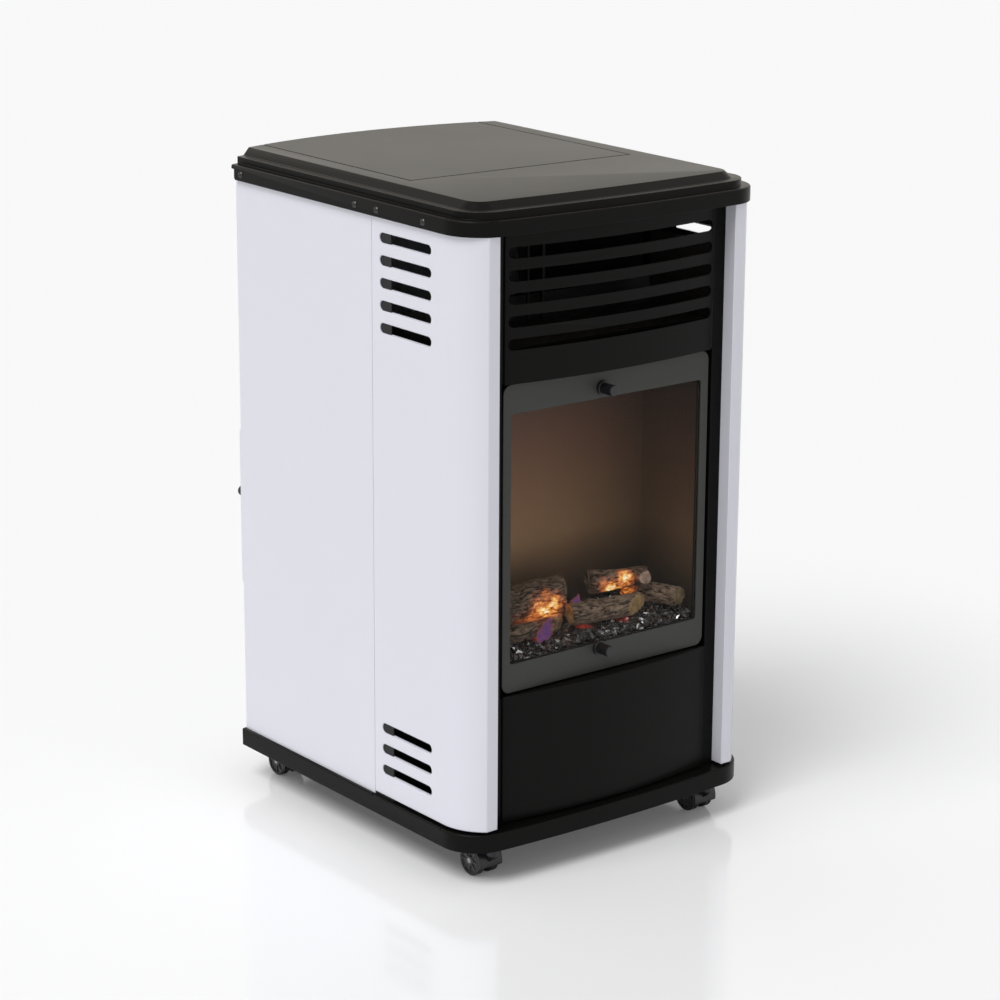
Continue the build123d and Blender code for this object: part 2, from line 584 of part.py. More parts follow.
# ---------------------------------------------------------------- top cover
with BuildPart() as top_cover:
    # Rim band, then the raised step, then the slope up to the flat top
    with BuildSketch(Plane.XY.offset(RIM_BOTTOM)):
        add(plan(0))
    extrude(amount=RIM_HEIGHT)
    lip_edges = top_cover.faces().sort_by(Axis.Z)[-1].edges().sort_by(Axis.Y)[:-1]
    fillet(lip_edges, RIM_EDGE_ROUND)
    with BuildSketch(Plane.XY.offset(LIP_Z - RIM_EDGE_ROUND)):
        add(plan(STEP_INSET, 0))
    extrude(amount=STEP_HEIGHT + RIM_EDGE_ROUND)
    with BuildSketch(Plane.XY.offset(STEP_TOP)):
        add(plan(SLOPE_INSET, -STEP_INSET))
    with BuildSketch(Plane.XY.offset(TOP_Z)):
        add(plan(TOP_INSET, -STEP_INSET))
    loft()
    with BuildSketch(Plane.XY.offset(RIM_BOTTOM)):
        add(plan(0))
    extrude(amount=TOP_Z - RIM_BOTTOM, mode=Mode.INTERSECT)

    # The rim band stops short of the rear, under a lip that runs on
    with Locations(*[(side * HALF_WIDTH, REAR_Y - RIM_END_INSET, RIM_BOTTOM) for side in (-1, 1)]):
        Box(2 * RIM_WALL, FAR, 2 * (RIM_HEIGHT - RIM_LIP_HEIGHT),
            align=(Align.CENTER, Align.MIN, Align.CENTER), mode=Mode.SUBTRACT)

    # Hollow underneath, following the steps
    with BuildSketch(Plane.XY.offset(RIM_BOTTOM)):
        add(plan(RIM_WALL, RIM_REAR_WALL))
    extrude(amount=RIM_HEIGHT - COVER_SKIN, mode=Mode.SUBTRACT)
    with BuildSketch(Plane.XY.offset(RIM_BOTTOM)):
        add(plan(STEP_INSET + COVER_SKIN, RIM_REAR_WALL))
    extrude(amount=RIM_HEIGHT + STEP_HEIGHT - COVER_SKIN, mode=Mode.SUBTRACT)
    with BuildSketch(Plane.XY.offset(RIM_BOTTOM)):
        add(plan(TOP_INSET + COVER_SKIN, RIM_REAR_WALL))
    extrude(amount=TOP_Z - COVER_SKIN - RIM_BOTTOM, mode=Mode.SUBTRACT)

    # Relief in the rim for the creases of the corner posts
    with BuildSketch(Plane.XY.offset(RIM_BOTTOM)):
        with Locations((-POST_ARC_X, POST_ARC_Y), (POST_ARC_X, POST_ARC_Y)):
            Circle(POST_RADIUS + FIT_GAP)
        with Locations((0, POST_FRONT_Y - FIT_GAP)):
            Rectangle(FAR, FAR, align=(Align.CENTER, Align.MIN), mode=Mode.INTERSECT)
    extrude(amount=RIM_HEIGHT - COVER_SKIN, mode=Mode.SUBTRACT)

    # Opening for the lid, down to the lid's seat at the rear wall, with a wall round it
    with BuildSketch(Plane.XY.offset(LID_BOTTOM - LID_REST_GAP)):
        with Locations((0, WELL_FRONT_Y)):
            Rectangle(2 * WELL_HALF_WIDTH, FAR, align=(Align.CENTER, Align.MIN))
    extrude(amount=FAR, mode=Mode.SUBTRACT)
    with BuildSketch(Plane.XY.offset(WELL_WALL_Z)):
        with Locations((0, WELL_FRONT_Y - WELL_SHEET)):
            Rectangle(2 * (WELL_HALF_WIDTH + WELL_SHEET), FAR, align=(Align.CENTER, Align.MIN))
        add(plan(RIM_REAR_WALL / 2), mode=Mode.INTERSECT)
        with Locations((0, WELL_FRONT_Y)):
            Rectangle(2 * WELL_HALF_WIDTH, FAR, align=(Align.CENTER, Align.MIN), mode=Mode.SUBTRACT)
    extrude(amount=TOP_Z - COVER_SKIN / 2 - WELL_WALL_Z)
    with Locations((0, LID_AXIS_Y, LID_AXIS_Z)):
        Cylinder(LID_PIN_RADIUS + RUN_GAP, 2 * (WELL_HALF_WIDTH + 2 * WELL_SHEET), rotation=(0, 90, 0),
                 mode=Mode.SUBTRACT)
top_cover.part.label = "top_cover"
export_step(top_cover.part, "parts/top_cover.step")

# Dome screws that hold the rim to the panels
with BuildPart() as rim_screws:
    for side in (-1, 1):
        for setback in SCREW_SETBACKS:
            with BuildSketch(Plane(origin=(side * HALF_WIDTH, FRONT_Y + setback, RIM_BOTTOM + SCREW_RISE),
                                   x_dir=(0, 1, 0), z_dir=(side, 0, 0))):
                Circle(SCREW_RADIUS)
            extrude(amount=SCREW_HEIGHT)
    fillet(rim_screws.edges().filter_by(GeomType.CIRCLE).filter_by(
        lambda edge: abs(edge.center().X) > HALF_WIDTH + FIT_GAP), SCREW_HEIGHT / 2)
rim_screws.part.label = "rim_screws"
export_step(rim_screws.part, "parts/rim_screws.step")

# Well under the lid, which holds the controls, with a ledge back to the cover's rear wall
with BuildPart() as control_tray:
    with BuildSketch(Plane.XY.offset(WELL_FLOOR_Z)):
        with Locations((0, WELL_FRONT_Y - WELL_SHEET)):
            Rectangle(2 * (WELL_HALF_WIDTH + WELL_SHEET), WELL_REAR_Y - WELL_FRONT_Y + 2 * WELL_SHEET,
                      align=(Align.CENTER, Align.MIN))
    extrude(amount=WELL_WALL_Z - WELL_FLOOR_Z)
    with BuildSketch(Plane.XY.offset(WELL_WALL_Z - WELL_SHEET)):
        with Locations((0, WELL_REAR_Y)):
            Rectangle(2 * (WELL_HALF_WIDTH + WELL_SHEET), FAR, align=(Align.CENTER, Align.MIN))
        add(plan(RIM_REAR_WALL + FIT_GAP), mode=Mode.INTERSECT)
    extrude(amount=WELL_SHEET)
    with BuildSketch(Plane.XY.offset(WELL_FLOOR_Z + WELL_SHEET)):
        with Locations((0, WELL_FRONT_Y)):
            Rectangle(2 * WELL_HALF_WIDTH, WELL_REAR_Y - WELL_FRONT_Y, align=(Align.CENTER, Align.MIN))
    extrude(amount=WELL_WALL_Z - WELL_FLOOR_Z, mode=Mode.SUBTRACT)
    with Locations((0, VALVE_Y, WELL_FLOOR_Z)):
        Cylinder(SPINDLE_RADIUS + FIT_GAP, 4 * WELL_SHEET, mode=Mode.SUBTRACT)
    with Locations((IGNITER_X, VALVE_Y, WELL_FLOOR_Z)):
        Cylinder(IGNITER_RADIUS + FIT_GAP, 4 * WELL_SHEET, mode=Mode.SUBTRACT)
control_tray.part.label = "control_tray"
export_step(control_tray.part, "parts/control_tray.step")

# Lid: flat on top, walled underneath, following the bowed rear
with BuildPart() as top_lid:
    with BuildSketch(Plane.XY.offset(LID_BOTTOM)):
        with Locations((0, LID_FRONT_Y)):
            Rectangle(2 * LID_HALF_WIDTH, FAR, align=(Align.CENTER, Align.MIN))
        add(plan(0), mode=Mode.INTERSECT)
    extrude(amount=LID_DEPTH)
    with BuildSketch(Plane.XY.offset(LID_BOTTOM)):
        with Locations((0, LID_FRONT_Y + LID_WALL)):
            Rectangle(2 * (LID_HALF_WIDTH - LID_WALL), FAR, align=(Align.CENTER, Align.MIN))
        add(plan(LID_WALL), mode=Mode.INTERSECT)
    extrude(amount=LID_DEPTH - LID_WALL, mode=Mode.SUBTRACT)
    with Locations((0, LID_AXIS_Y, LID_AXIS_Z)):
        Cylinder(LID_PIN_RADIUS + RUN_GAP, 2 * FAR, rotation=(0, 90, 0), mode=Mode.SUBTRACT)
top_lid.part.label = "top_lid"
export_step(top_lid.part, "parts/top_lid.step")

with BuildPart() as lid_hinge_pins:
    for side in (-1, 1):
        with Locations((side * (WELL_HALF_WIDTH + WELL_SHEET), LID_AXIS_Y, LID_AXIS_Z)):
            Cylinder(LID_PIN_RADIUS, WELL_SHEET + LID_GAP + 2 * LID_WALL, rotation=(0, -90 * side, 0),
                     align=(Align.CENTER, Align.CENTER, Align.MIN))
lid_hinge_pins.part.label = "lid_hinge_pins"
export_step(lid_hinge_pins.part, "parts/lid_hinge_pins.step")

# ---------------------------------------------------------------- bowed front panels
with BuildPart() as louvre_panel:
    with BuildSketch(Plane.XY.offset(LOUVRE_BOTTOM)):
        add(panel_arc(0))
    extrude(amount=PANEL_TOP - LOUVRE_BOTTOM)
    front_corners = louvre_panel.edges().filter_by(Axis.Z).group_by(Axis.Y)[0]
    fillet(front_corners, FASCIA_EDGE_ROUND)
    with BuildSketch(Plane.XY.offset(LOUVRE_BOTTOM + SHEET)):
        add(panel_arc(SHEET))
        with Locations((0, CHASSIS_Y)):
            Rectangle(2 * (FASCIA_HALF_WIDTH - SHEET), 2 * SHEET)
    extrude(amount=PANEL_TOP - LOUVRE_BOTTOM, mode=Mode.SUBTRACT)
    with BuildSketch(Plane.XZ.offset(-CHASSIS_Y)):
        with Locations(*[(0, FRONT_SLOT_TOP_MID - SLOT_PITCH * row) for row in range(FRONT_SLOTS)]):
            SlotOverall(2 * FRONT_SLOT_HALF_LENGTH, FRONT_SLOT_HEIGHT)
    extrude(amount=FAR, both=True, mode=Mode.SUBTRACT)
louvre_panel.part.label = "louvre_panel"
export_step(louvre_panel.part, "parts/louvre_panel.step")

with BuildPart() as lower_panel:
    with BuildSketch(Plane.XY.offset(LOWER_BOTTOM)):
        add(panel_arc(0))
    extrude(amount=LOWER_TOP - LOWER_BOTTOM)
    fillet(lower_panel.edges().filter_by(Axis.Z).group_by(Axis.Y)[0], FASCIA_EDGE_ROUND)
    fillet(lower_panel.faces().sort_by(Axis.Z)[-1].edges().sort_by(Axis.Y)[0], LOWER_PANEL_TOP_ROUND)
    with BuildSketch(Plane.XY.offset(LOWER_BOTTOM)):
        add(panel_arc(SHEET))
        with Locations((0, CHASSIS_Y)):
            Rectangle(2 * (FASCIA_HALF_WIDTH - SHEET), 2 * SHEET)
    extrude(amount=LOWER_TOP - SHEET - LOWER_BOTTOM, mode=Mode.SUBTRACT)
lower_panel.part.label = "lower_panel"
export_step(lower_panel.part, "parts/lower_panel.step")

# ---------------------------------------------------------------- chassis front and the window in it
recess_width = 2 * RECESS_HALF_WIDTH
recess_height = FRAME_HEIGHT + 2 * RECESS_MARGIN
recess_mid_z = (FRAME_BOTTOM + FRAME_TOP) / 2
with BuildPart() as chassis_front:
    # Front sheet with the recess for the glass, and the vent behind the louvres
    with BuildSketch(Plane.XZ.offset(-CHASSIS_Y)):
        with Locations((0, (BASE_TOP + PANEL_TOP) / 2)):
            Rectangle(2 * CHASSIS_HALF_WIDTH, PANEL_TOP - BASE_TOP)
        with Locations((0, VENT_BOTTOM + UPPER_VENT_HEIGHT / 2)):
            Rectangle(2 * UPPER_VENT_HALF_WIDTH, UPPER_VENT_HEIGHT, mode=Mode.SUBTRACT)
    extrude(amount=-SHEET)
    with Locations((0, CHASSIS_Y, recess_mid_z)):
        Box(recess_width + 2 * SHEET, RECESS_DEPTH + SHEET, recess_height + 2 * SHEET,
            align=(Align.CENTER, Align.MIN, Align.CENTER))
        Box(recess_width, RECESS_DEPTH, recess_height, align=(Align.CENTER, Align.MIN, Align.CENTER),
            mode=Mode.SUBTRACT)
    with BuildSketch(Plane.XZ.offset(-CHASSIS_Y)):
        with Locations((0, WINDOW_MID_Z)):
            Rectangle(2 * FLANGE_WINDOW_HALF_WIDTH, WINDOW_HEIGHT)
    extrude(amount=-2 * RECESS_DEPTH, mode=Mode.SUBTRACT)
    with Locations((KNOB_X, FLANGE_Y, KNOB_TOP_Z), (KNOB_X, FLANGE_Y, KNOB_BOTTOM_Z)):
        Cylinder(SHANK_RADIUS + RUN_GAP, 2 * RECESS_DEPTH, rotation=(90, 0, 0), mode=Mode.SUBTRACT)
chassis_front.part.label = "chassis_front"
export_step(chassis_front.part, "parts/chassis_front.step")

# Flat frame that clamps the glass, held by the two thumb-knobs
with BuildPart() as glass_frame:
    with BuildSketch(Plane.XZ.offset(-FRAME_FACE_Y)):
        with Locations((0, (FRAME_BOTTOM + FRAME_TOP) / 2)):
            RectangleRounded(2 * FRAME_HALF_WIDTH, FRAME_HEIGHT, FRAME_CORNER_RADIUS)
        with Locations((0, WINDOW_MID_Z)):
            RectangleRounded(2 * WINDOW_HALF_WIDTH, WINDOW_HEIGHT, WINDOW_CORNER_RADIUS, mode=Mode.SUBTRACT)
        with Locations((KNOB_X, KNOB_TOP_Z), (KNOB_X, KNOB_BOTTOM_Z)):
            Circle(SHANK_RADIUS + RUN_GAP, mode=Mode.SUBTRACT)
    extrude(amount=-FRAME_SHEET)
glass_frame.part.label = "glass_frame"
export_step(glass_frame.part, "parts/glass_frame.step")

with BuildPart() as fire_glass:
    with BuildSketch(Plane.XZ.offset(-GLASS_FACE_Y)):
        with Locations((0, WINDOW_MID_Z)):
            Rectangle(2 * (WINDOW_HALF_WIDTH + GLASS_LAP), WINDOW_HEIGHT + 2 * GLASS_LAP)
    extrude(amount=-GLASS_THICKNESS)
fire_glass.part.label = "fire_glass"
export_step(fire_glass.part, "parts/fire_glass.step")

# Gasket: flat fibre ring between the glass and the flange, cut away round the knobs' shanks
with BuildPart() as glass_gasket:
    with BuildSketch(Plane.XZ.offset(-GASKET_FACE_Y)):
        with Locations((0, WINDOW_MID_Z)):
            Rectangle(2 * FLANGE_WINDOW_HALF_WIDTH + 2 * GASKET_WIDTH, WINDOW_HEIGHT + 2 * GASKET_WIDTH)
            Rectangle(2 * FLANGE_WINDOW_HALF_WIDTH, WINDOW_HEIGHT, mode=Mode.SUBTRACT)
        with Locations((KNOB_X, KNOB_TOP_Z), (KNOB_X, KNOB_BOTTOM_Z)):
            Circle(SHANK_RADIUS + FIT_GAP, mode=Mode.SUBTRACT)
    extrude(amount=GASKET_FACE_Y - FLANGE_Y)
glass_gasket.part.label = "glass_gasket"
export_step(glass_gasket.part, "parts/glass_gasket.step")

shank_length = FLANGE_BACK_Y - FRAME_FACE_Y + 2 * SHEET
for place, z in (("top", KNOB_TOP_Z), ("bottom", KNOB_BOTTOM_Z)):
    with BuildPart() as thumb_knob_piece:
        with Locations((KNOB_X, FRAME_FACE_Y, z)):
            add(thumb_knob(KNOB_LENGTH, shank_length), rotation=(90, 0, 0))
    thumb_knob_piece.part.label = f"thumb_knob_{place}"
    export_step(thumb_knob_piece.part, f"parts/thumb_knob_{place}.step")

# ---------------------------------------------------------------- firebox
liner_height = LINER_TOP_Z - LINER_BOTTOM_Z
liner_depth = LINER_BACK_Y - FLANGE_BACK_Y
with BuildPart() as firebox_liner:
    with Locations((0, FLANGE_BACK_Y, LINER_BOTTOM_Z)):
        Box(2 * LINER_HALF_WIDTH, liner_depth, liner_height, align=(Align.CENTER, Align.MIN, Align.MIN))
    with Locations((0, FLANGE_BACK_Y, LINER_BOTTOM_Z + SHEET)):
        Box(2 * (LINER_HALF_WIDTH - SHEET), liner_depth - SHEET, liner_height - 2 * SHEET,
            align=(Align.CENTER, Align.MIN, Align.MIN), mode=Mode.SUBTRACT)
    with Locations((BURNER_PIPE_X, LINER_BACK_Y, BURNER_Z)):
        Cylinder(PIPE_RADIUS + PIPE_HOLE_GAP, 4 * SHEET, rotation=(90, 0, 0), mode=Mode.SUBTRACT)
    with Locations((PILOT_PIPE_X, LINER_BACK_Y, BURNER_Z)):
        Cylinder(PILOT_PIPE_RADIUS + PIPE_HOLE_GAP, 4 * SHEET, rotation=(90, 0, 0), mode=Mode.SUBTRACT)
firebox_liner.part.label = "firebox_liner"
export_step(firebox_liner.part, "parts/firebox_liner.step")

# Hood: deflector over the firebox, with upturned sides, standing on two legs on the liner
with BuildPart() as firebox_hood:
    with Locations((0, FLANGE_BACK_Y, HOOD_Z - SHEET)):
        Box(2 * HOOD_HALF_WIDTH, liner_depth, SHEET, align=(Align.CENTER, Align.MIN, Align.MIN))
    with Locations(*[(side * (HOOD_HALF_WIDTH - SHEET / 2), FLANGE_BACK_Y, HOOD_Z - SHEET)
                     for side in (-1, 1)]):
        Box(SHEET, liner_depth, HOOD_SIDE_HEIGHT, align=(Align.CENTER, Align.MIN, Align.MIN))
    with Locations((-HOOD_LEG_X, FLANGE_BACK_Y, LINER_TOP_Z), (HOOD_LEG_X, FLANGE_BACK_Y, LINER_TOP_Z)):
        Box(SHEET, liner_depth, HOOD_Z - LINER_TOP_Z, align=(Align.CENTER, Align.MIN, Align.MIN))
firebox_hood.part.label = "firebox_hood"
export_step(firebox_hood.part, "parts/firebox_hood.step")

with BuildPart() as bottle_shield:
    with Locations((0, SHIELD_Y, BASE_TOP)):
        Box(2 * (BODY_HALF_WIDTH - SHEET - JOINER_SHEET), SHEET, SHIELD_TOP_Z - BASE_TOP,
            align=(Align.CENTER, Align.MAX, Align.MIN))
bottle_shield.part.label = "bottle_shield"
export_step(bottle_shield.part, "parts/bottle_shield.step")

# Burner tray: shallow pan on the liner's floor
tray_floor_z = LINER_BOTTOM_Z + SHEET
tray_top_z = tray_floor_z + TRAY_HEIGHT
tray_mid_y = (TRAY_FRONT_Y + TRAY_BACK_Y) / 2
tray_depth = TRAY_BACK_Y - TRAY_FRONT_Y
with BuildPart() as burner_tray:
    with Locations((0, tray_mid_y, tray_floor_z)):
        Box(2 * TRAY_HALF_WIDTH, tray_depth, TRAY_HEIGHT, align=(Align.CENTER, Align.CENTER, Align.MIN))
    with Locations((0, tray_mid_y, tray_floor_z + SHEET)):
        Box(2 * (TRAY_HALF_WIDTH - SHEET), tray_depth - 2 * SHEET, TRAY_HEIGHT,
            align=(Align.CENTER, Align.CENTER, Align.MIN), mode=Mode.SUBTRACT)
    with Locations((BURNER_PIPE_X, TRAY_BACK_Y, BURNER_Z)):
        Cylinder(PIPE_RADIUS + PIPE_HOLE_GAP, 4 * SHEET, rotation=(90, 0, 0), mode=Mode.SUBTRACT)
    with Locations((PILOT_PIPE_X, TRAY_BACK_Y, BURNER_Z)):
        Cylinder(PILOT_PIPE_RADIUS + PIPE_HOLE_GAP, 4 * SHEET, rotation=(90, 0, 0), mode=Mode.SUBTRACT)
burner_tray.part.label = "burner_tray"
export_step(burner_tray.part, "parts/burner_tray.step")

# Burner tube with a row of ports along its top and an inlet stub to the rear
port_count = 2 * int((BURNER_HALF_LENGTH - BURNER_RADIUS) / PORT_PITCH) + 1
with BuildPart() as burner_tube:
    with Locations((0, BURNER_Y, BURNER_Z)):
        Cylinder(BURNER_RADIUS, 2 * BURNER_HALF_LENGTH, rotation=(0, 90, 0))
    with Locations((BURNER_PIPE_X, BURNER_Y, BURNER_Z)):
        Cylinder(BURNER_RADIUS - BURNER_WALL, BURNER_STUB_END_Y - BURNER_Y, rotation=(-90, 0, 0),
                 align=(Align.CENTER, Align.CENTER, Align.MIN))
    with Locations((0, BURNER_Y, BURNER_Z)):
        Cylinder(BURNER_RADIUS - BURNER_WALL, 2 * (BURNER_HALF_LENGTH - BURNER_WALL), rotation=(0, 90, 0),
                 mode=Mode.SUBTRACT)
    with Locations((0, BURNER_Y, BURNER_Z)):
        with GridLocations(PORT_PITCH, PORT_PITCH, port_count, 1):
            Cylinder(PORT_RADIUS, 2 * BURNER_RADIUS, align=(Align.CENTER, Align.CENTER, Align.MIN),
                     mode=Mode.SUBTRACT)
burner_tube.part.label = "burner_tube"
export_step(burner_tube.part, "parts/burner_tube.step")

# Coal bed: a raked slab on the tray's rim, with rows of coals standing out of it
with BuildPart() as ember_bed:
    with BuildSketch(Plane.YZ.offset(-TRAY_HALF_WIDTH)):
        with BuildLine():
            Polyline((TRAY_FRONT_Y, tray_top_z), (TRAY_BACK_Y, tray_top_z), (TRAY_BACK_Y, BED_BACK_Z),
                     (TRAY_FRONT_Y, BED_FRONT_Z), close=True)
        make_face()
    extrude(amount=2 * TRAY_HALF_WIDTH)
    coal_step = 2 * (TRAY_HALF_WIDTH - COAL_SIZE) / (COAL_COLUMNS - 1)
    coal_row_step = (tray_depth - 2 * COAL_SIZE) / (COAL_ROWS - 1)
    for row in range(COAL_ROWS):
        for column in range(COAL_COLUMNS):
            turn = COAL_TURN * (column + COAL_COLUMNS * row)
            coal_y = TRAY_FRONT_Y + COAL_SIZE + row * coal_row_step
            coal_x = -TRAY_HALF_WIDTH + COAL_SIZE + column * coal_step
            with Locations((coal_x, coal_y, bed_height(coal_y) - COAL_SIZE / 3)):
                Box(COAL_SIZE, COAL_SIZE, COAL_SIZE, rotation=(turn, turn / 2, turn / 3))
ember_bed.part.label = "ember_bed"
export_step(ember_bed.part, "parts/ember_bed.step")

# Logs
lay_log("log_left", LOG_LEFT_FROM, LOG_LEFT_TO, LOG_LEFT_RADIUS, LOG_LEFT_STAND)
lay_log("log_front", LOG_FRONT_FROM, LOG_FRONT_TO, LOG_FRONT_RADIUS, LOG_FRONT_STAND)
lay_log("log_right", LOG_RIGHT_FROM, LOG_RIGHT_TO, LOG_RIGHT_RADIUS, LOG_RIGHT_STAND)
lay_log("log_top", LOG_TOP_FROM, LOG_TOP_TO, LOG_TOP_RADIUS, LOG_TOP_STAND)
lay_log("log_low", LOG_LOW_FROM, LOG_LOW_TO, LOG_LOW_RADIUS, LOG_LOW_STAND)

# ---------------------------------------------------------------- pilot, electrode, thermocouple
probe_floor = tray_floor_z + SHEET
with BuildPart() as pilot_burner:
    with Locations((PILOT_PIPE_X, PILOT_END_Y, BURNER_Z)):
        Cylinder(PILOT_RADIUS, PILOT_LENGTH, rotation=(90, 0, 0),
                 align=(Align.CENTER, Align.CENTER, Align.MIN))
    with Locations((PILOT_PIPE_X, PILOT_END_Y - PILOT_LENGTH + PILOT_RADIUS, BURNER_Z)):
        Cylinder(PILOT_RADIUS - SHEET, PILOT_HEAD, align=(Align.CENTER, Align.CENTER, Align.MIN))
pilot_burner.part.label = "pilot_burner"
export_step(pilot_burner.part, "parts/pilot_burner.step")

with BuildPart() as ignition_electrode:
    with Locations((ELECTRODE_X, PROBE_Y, probe_floor)):
        Cylinder(ELECTRODE_RADIUS, ELECTRODE_HEIGHT, align=(Align.CENTER, Align.CENTER, Align.MIN))
        Cylinder(ELECTRODE_WIRE_RADIUS, PROBE_HEIGHT, align=(Align.CENTER, Align.CENTER, Align.MIN))
ignition_electrode.part.label = "ignition_electrode"
export_step(ignition_electrode.part, "parts/ignition_electrode.step")

with BuildPart() as thermocouple:
    with Locations((THERMOCOUPLE_X, PROBE_Y, probe_floor)):
        Cylinder(THERMOCOUPLE_RADIUS, PROBE_HEIGHT, align=(Align.CENTER, Align.CENTER, Align.MIN))
    with BuildSketch(Plane.XY.offset(probe_floor)):
        with Locations((THERMOCOUPLE_X, PROBE_Y)):
            RegularPolygon(2 * THERMOCOUPLE_RADIUS, 6)
    extrude(amount=2 * THERMOCOUPLE_RADIUS)
thermocouple.part.label = "thermocouple"
export_step(thermocouple.part, "parts/thermocouple.step")

# ---------------------------------------------------------------- gas valve, controls and pipes
valve_front_y = VALVE_Y - VALVE_DEPTH / 2
valve_rear_y = VALVE_Y + VALVE_DEPTH / 2
valve_mid_z = WELL_FLOOR_Z - VALVE_HEIGHT / 2
with BuildPart() as gas_valve:
    with Locations((0, VALVE_Y, WELL_FLOOR_Z)):
        Box(2 * VALVE_HALF_WIDTH, VALVE_DEPTH, VALVE_HEIGHT, align=(Align.CENTER, Align.CENTER, Align.MAX))
    chamfer(gas_valve.edges().filter_by(Axis.Z), VALVE_CHAMFER)
    with Locations((0, VALVE_Y, WELL_FLOOR_Z)):
        Cylinder(SPINDLE_RADIUS + RUN_GAP, SPINDLE_SEAT + FIT_GAP, mode=Mode.SUBTRACT,
                 align=(Align.CENTER, Align.CENTER, Align.MAX))
gas_valve.part.label = "gas_valve"
export_step(gas_valve.part, "parts/gas_valve.step")

# Control knob: round skirt with a grip bar, on the spindle that turns in the valve
knob_floor = WELL_FLOOR_Z + WELL_SHEET + FIT_GAP
with BuildPart() as control_knob:
    with Locations((0, VALVE_Y, knob_floor)):
        Cylinder(CONTROL_KNOB_RADIUS, CONTROL_SKIRT, align=(Align.CENTER, Align.CENTER, Align.MIN))
    chamfer(control_knob.faces().sort_by(Axis.Z)[-1].edges(), CONTROL_SKIRT / 4)
    with Locations((0, VALVE_Y, knob_floor)):
        Box(CONTROL_GRIP, 2 * (CONTROL_KNOB_RADIUS - CONTROL_SKIRT / 2), CONTROL_KNOB_HEIGHT,
            align=(Align.CENTER, Align.CENTER, Align.MIN))
    with Locations((0, VALVE_Y, WELL_FLOOR_Z - SPINDLE_SEAT)):
        Cylinder(SPINDLE_RADIUS, SPINDLE_SEAT + CONTROL_SKIRT, align=(Align.CENTER, Align.CENTER, Align.MIN))
control_knob.part.label = "control_knob"
export_step(control_knob.part, "parts/control_knob.step")

# Igniter: sprung push button in a round body under the well
button_top = WELL_FLOOR_Z + WELL_SHEET + IGNITER_PROUD
button_bottom = WELL_FLOOR_Z - IGNITER_SEAT
with BuildPart() as igniter_button:
    with Locations((IGNITER_X, VALVE_Y, button_bottom)):
        Cylinder(IGNITER_RADIUS, button_top - button_bottom, align=(Align.CENTER, Align.CENTER, Align.MIN))
    fillet(igniter_button.faces().sort_by(Axis.Z)[-1].edges(), IGNITER_ROUND)
igniter_button.part.label = "igniter_button"
export_step(igniter_button.part, "parts/igniter_button.step")

with BuildPart() as igniter_body:
    with Locations((IGNITER_X, VALVE_Y, WELL_FLOOR_Z)):
        Cylinder(IGNITER_BODY_RADIUS, IGNITER_BODY_HEIGHT, align=(Align.CENTER, Align.CENTER, Align.MAX))
        Cylinder(IGNITER_RADIUS + FIT_GAP, IGNITER_SEAT + IGNITER_TRAVEL + FIT_GAP, mode=Mode.SUBTRACT,
                 align=(Align.CENTER, Align.CENTER, Align.MAX))
igniter_body.part.label = "igniter_body"
export_step(igniter_body.part, "parts/igniter_body.step")

# Gas inlet: nut on the valve and a plain spigot for the bottle's hose
with BuildPart() as gas_inlet:
    with BuildSketch(Plane.XZ.offset(-valve_rear_y)):
        with Locations((0, valve_mid_z)):
            RegularPolygon(INLET_NUT_RADIUS, 6)
    extrude(amount=-INLET_NUT)
    with BuildSketch(Plane.XZ.offset(-valve_rear_y - INLET_NUT)):
        with Locations((0, valve_mid_z)):
            Circle(SPIGOT_RADIUS)
    extrude(amount=-SPIGOT_LENGTH)
    with Locations((0, valve_rear_y, valve_mid_z)):
        Cylinder(SPIGOT_BORE, 2 * (INLET_NUT + SPIGOT_LENGTH), rotation=(90, 0, 0), mode=Mode.SUBTRACT)
gas_inlet.part.label = "gas_inlet"
export_step(gas_inlet.part, "parts/gas_inlet.step")

# Rigid pipes: over the bottle shield and down behind the firebox
burner_route = [(BURNER_PIPE_X, valve_front_y, valve_mid_z), (BURNER_PIPE_X, PIPE_Y, valve_mid_z),
                (BURNER_PIPE_X, PIPE_Y, BURNER_Z), (BURNER_PIPE_X, BURNER_STUB_END_Y, BURNER_Z)]
burner_pipe = pipe_along(burner_route, PIPE_RADIUS, PIPE_BEND)
burner_pipe.label = "burner_pipe"
export_step(burner_pipe, "parts/burner_pipe.step")

pilot_route = [(PILOT_PIPE_X, valve_front_y, valve_mid_z), (PILOT_PIPE_X, PIPE_Y, valve_mid_z),
               (PILOT_PIPE_X, PIPE_Y, BURNER_Z), (PILOT_PIPE_X, PILOT_END_Y, BURNER_Z)]
pilot_pipe = pipe_along(pilot_route, PILOT_PIPE_RADIUS, PIPE_BEND)
pilot_pipe.label = "pilot_pipe"
export_step(pilot_pipe, "parts/pilot_pipe.step")

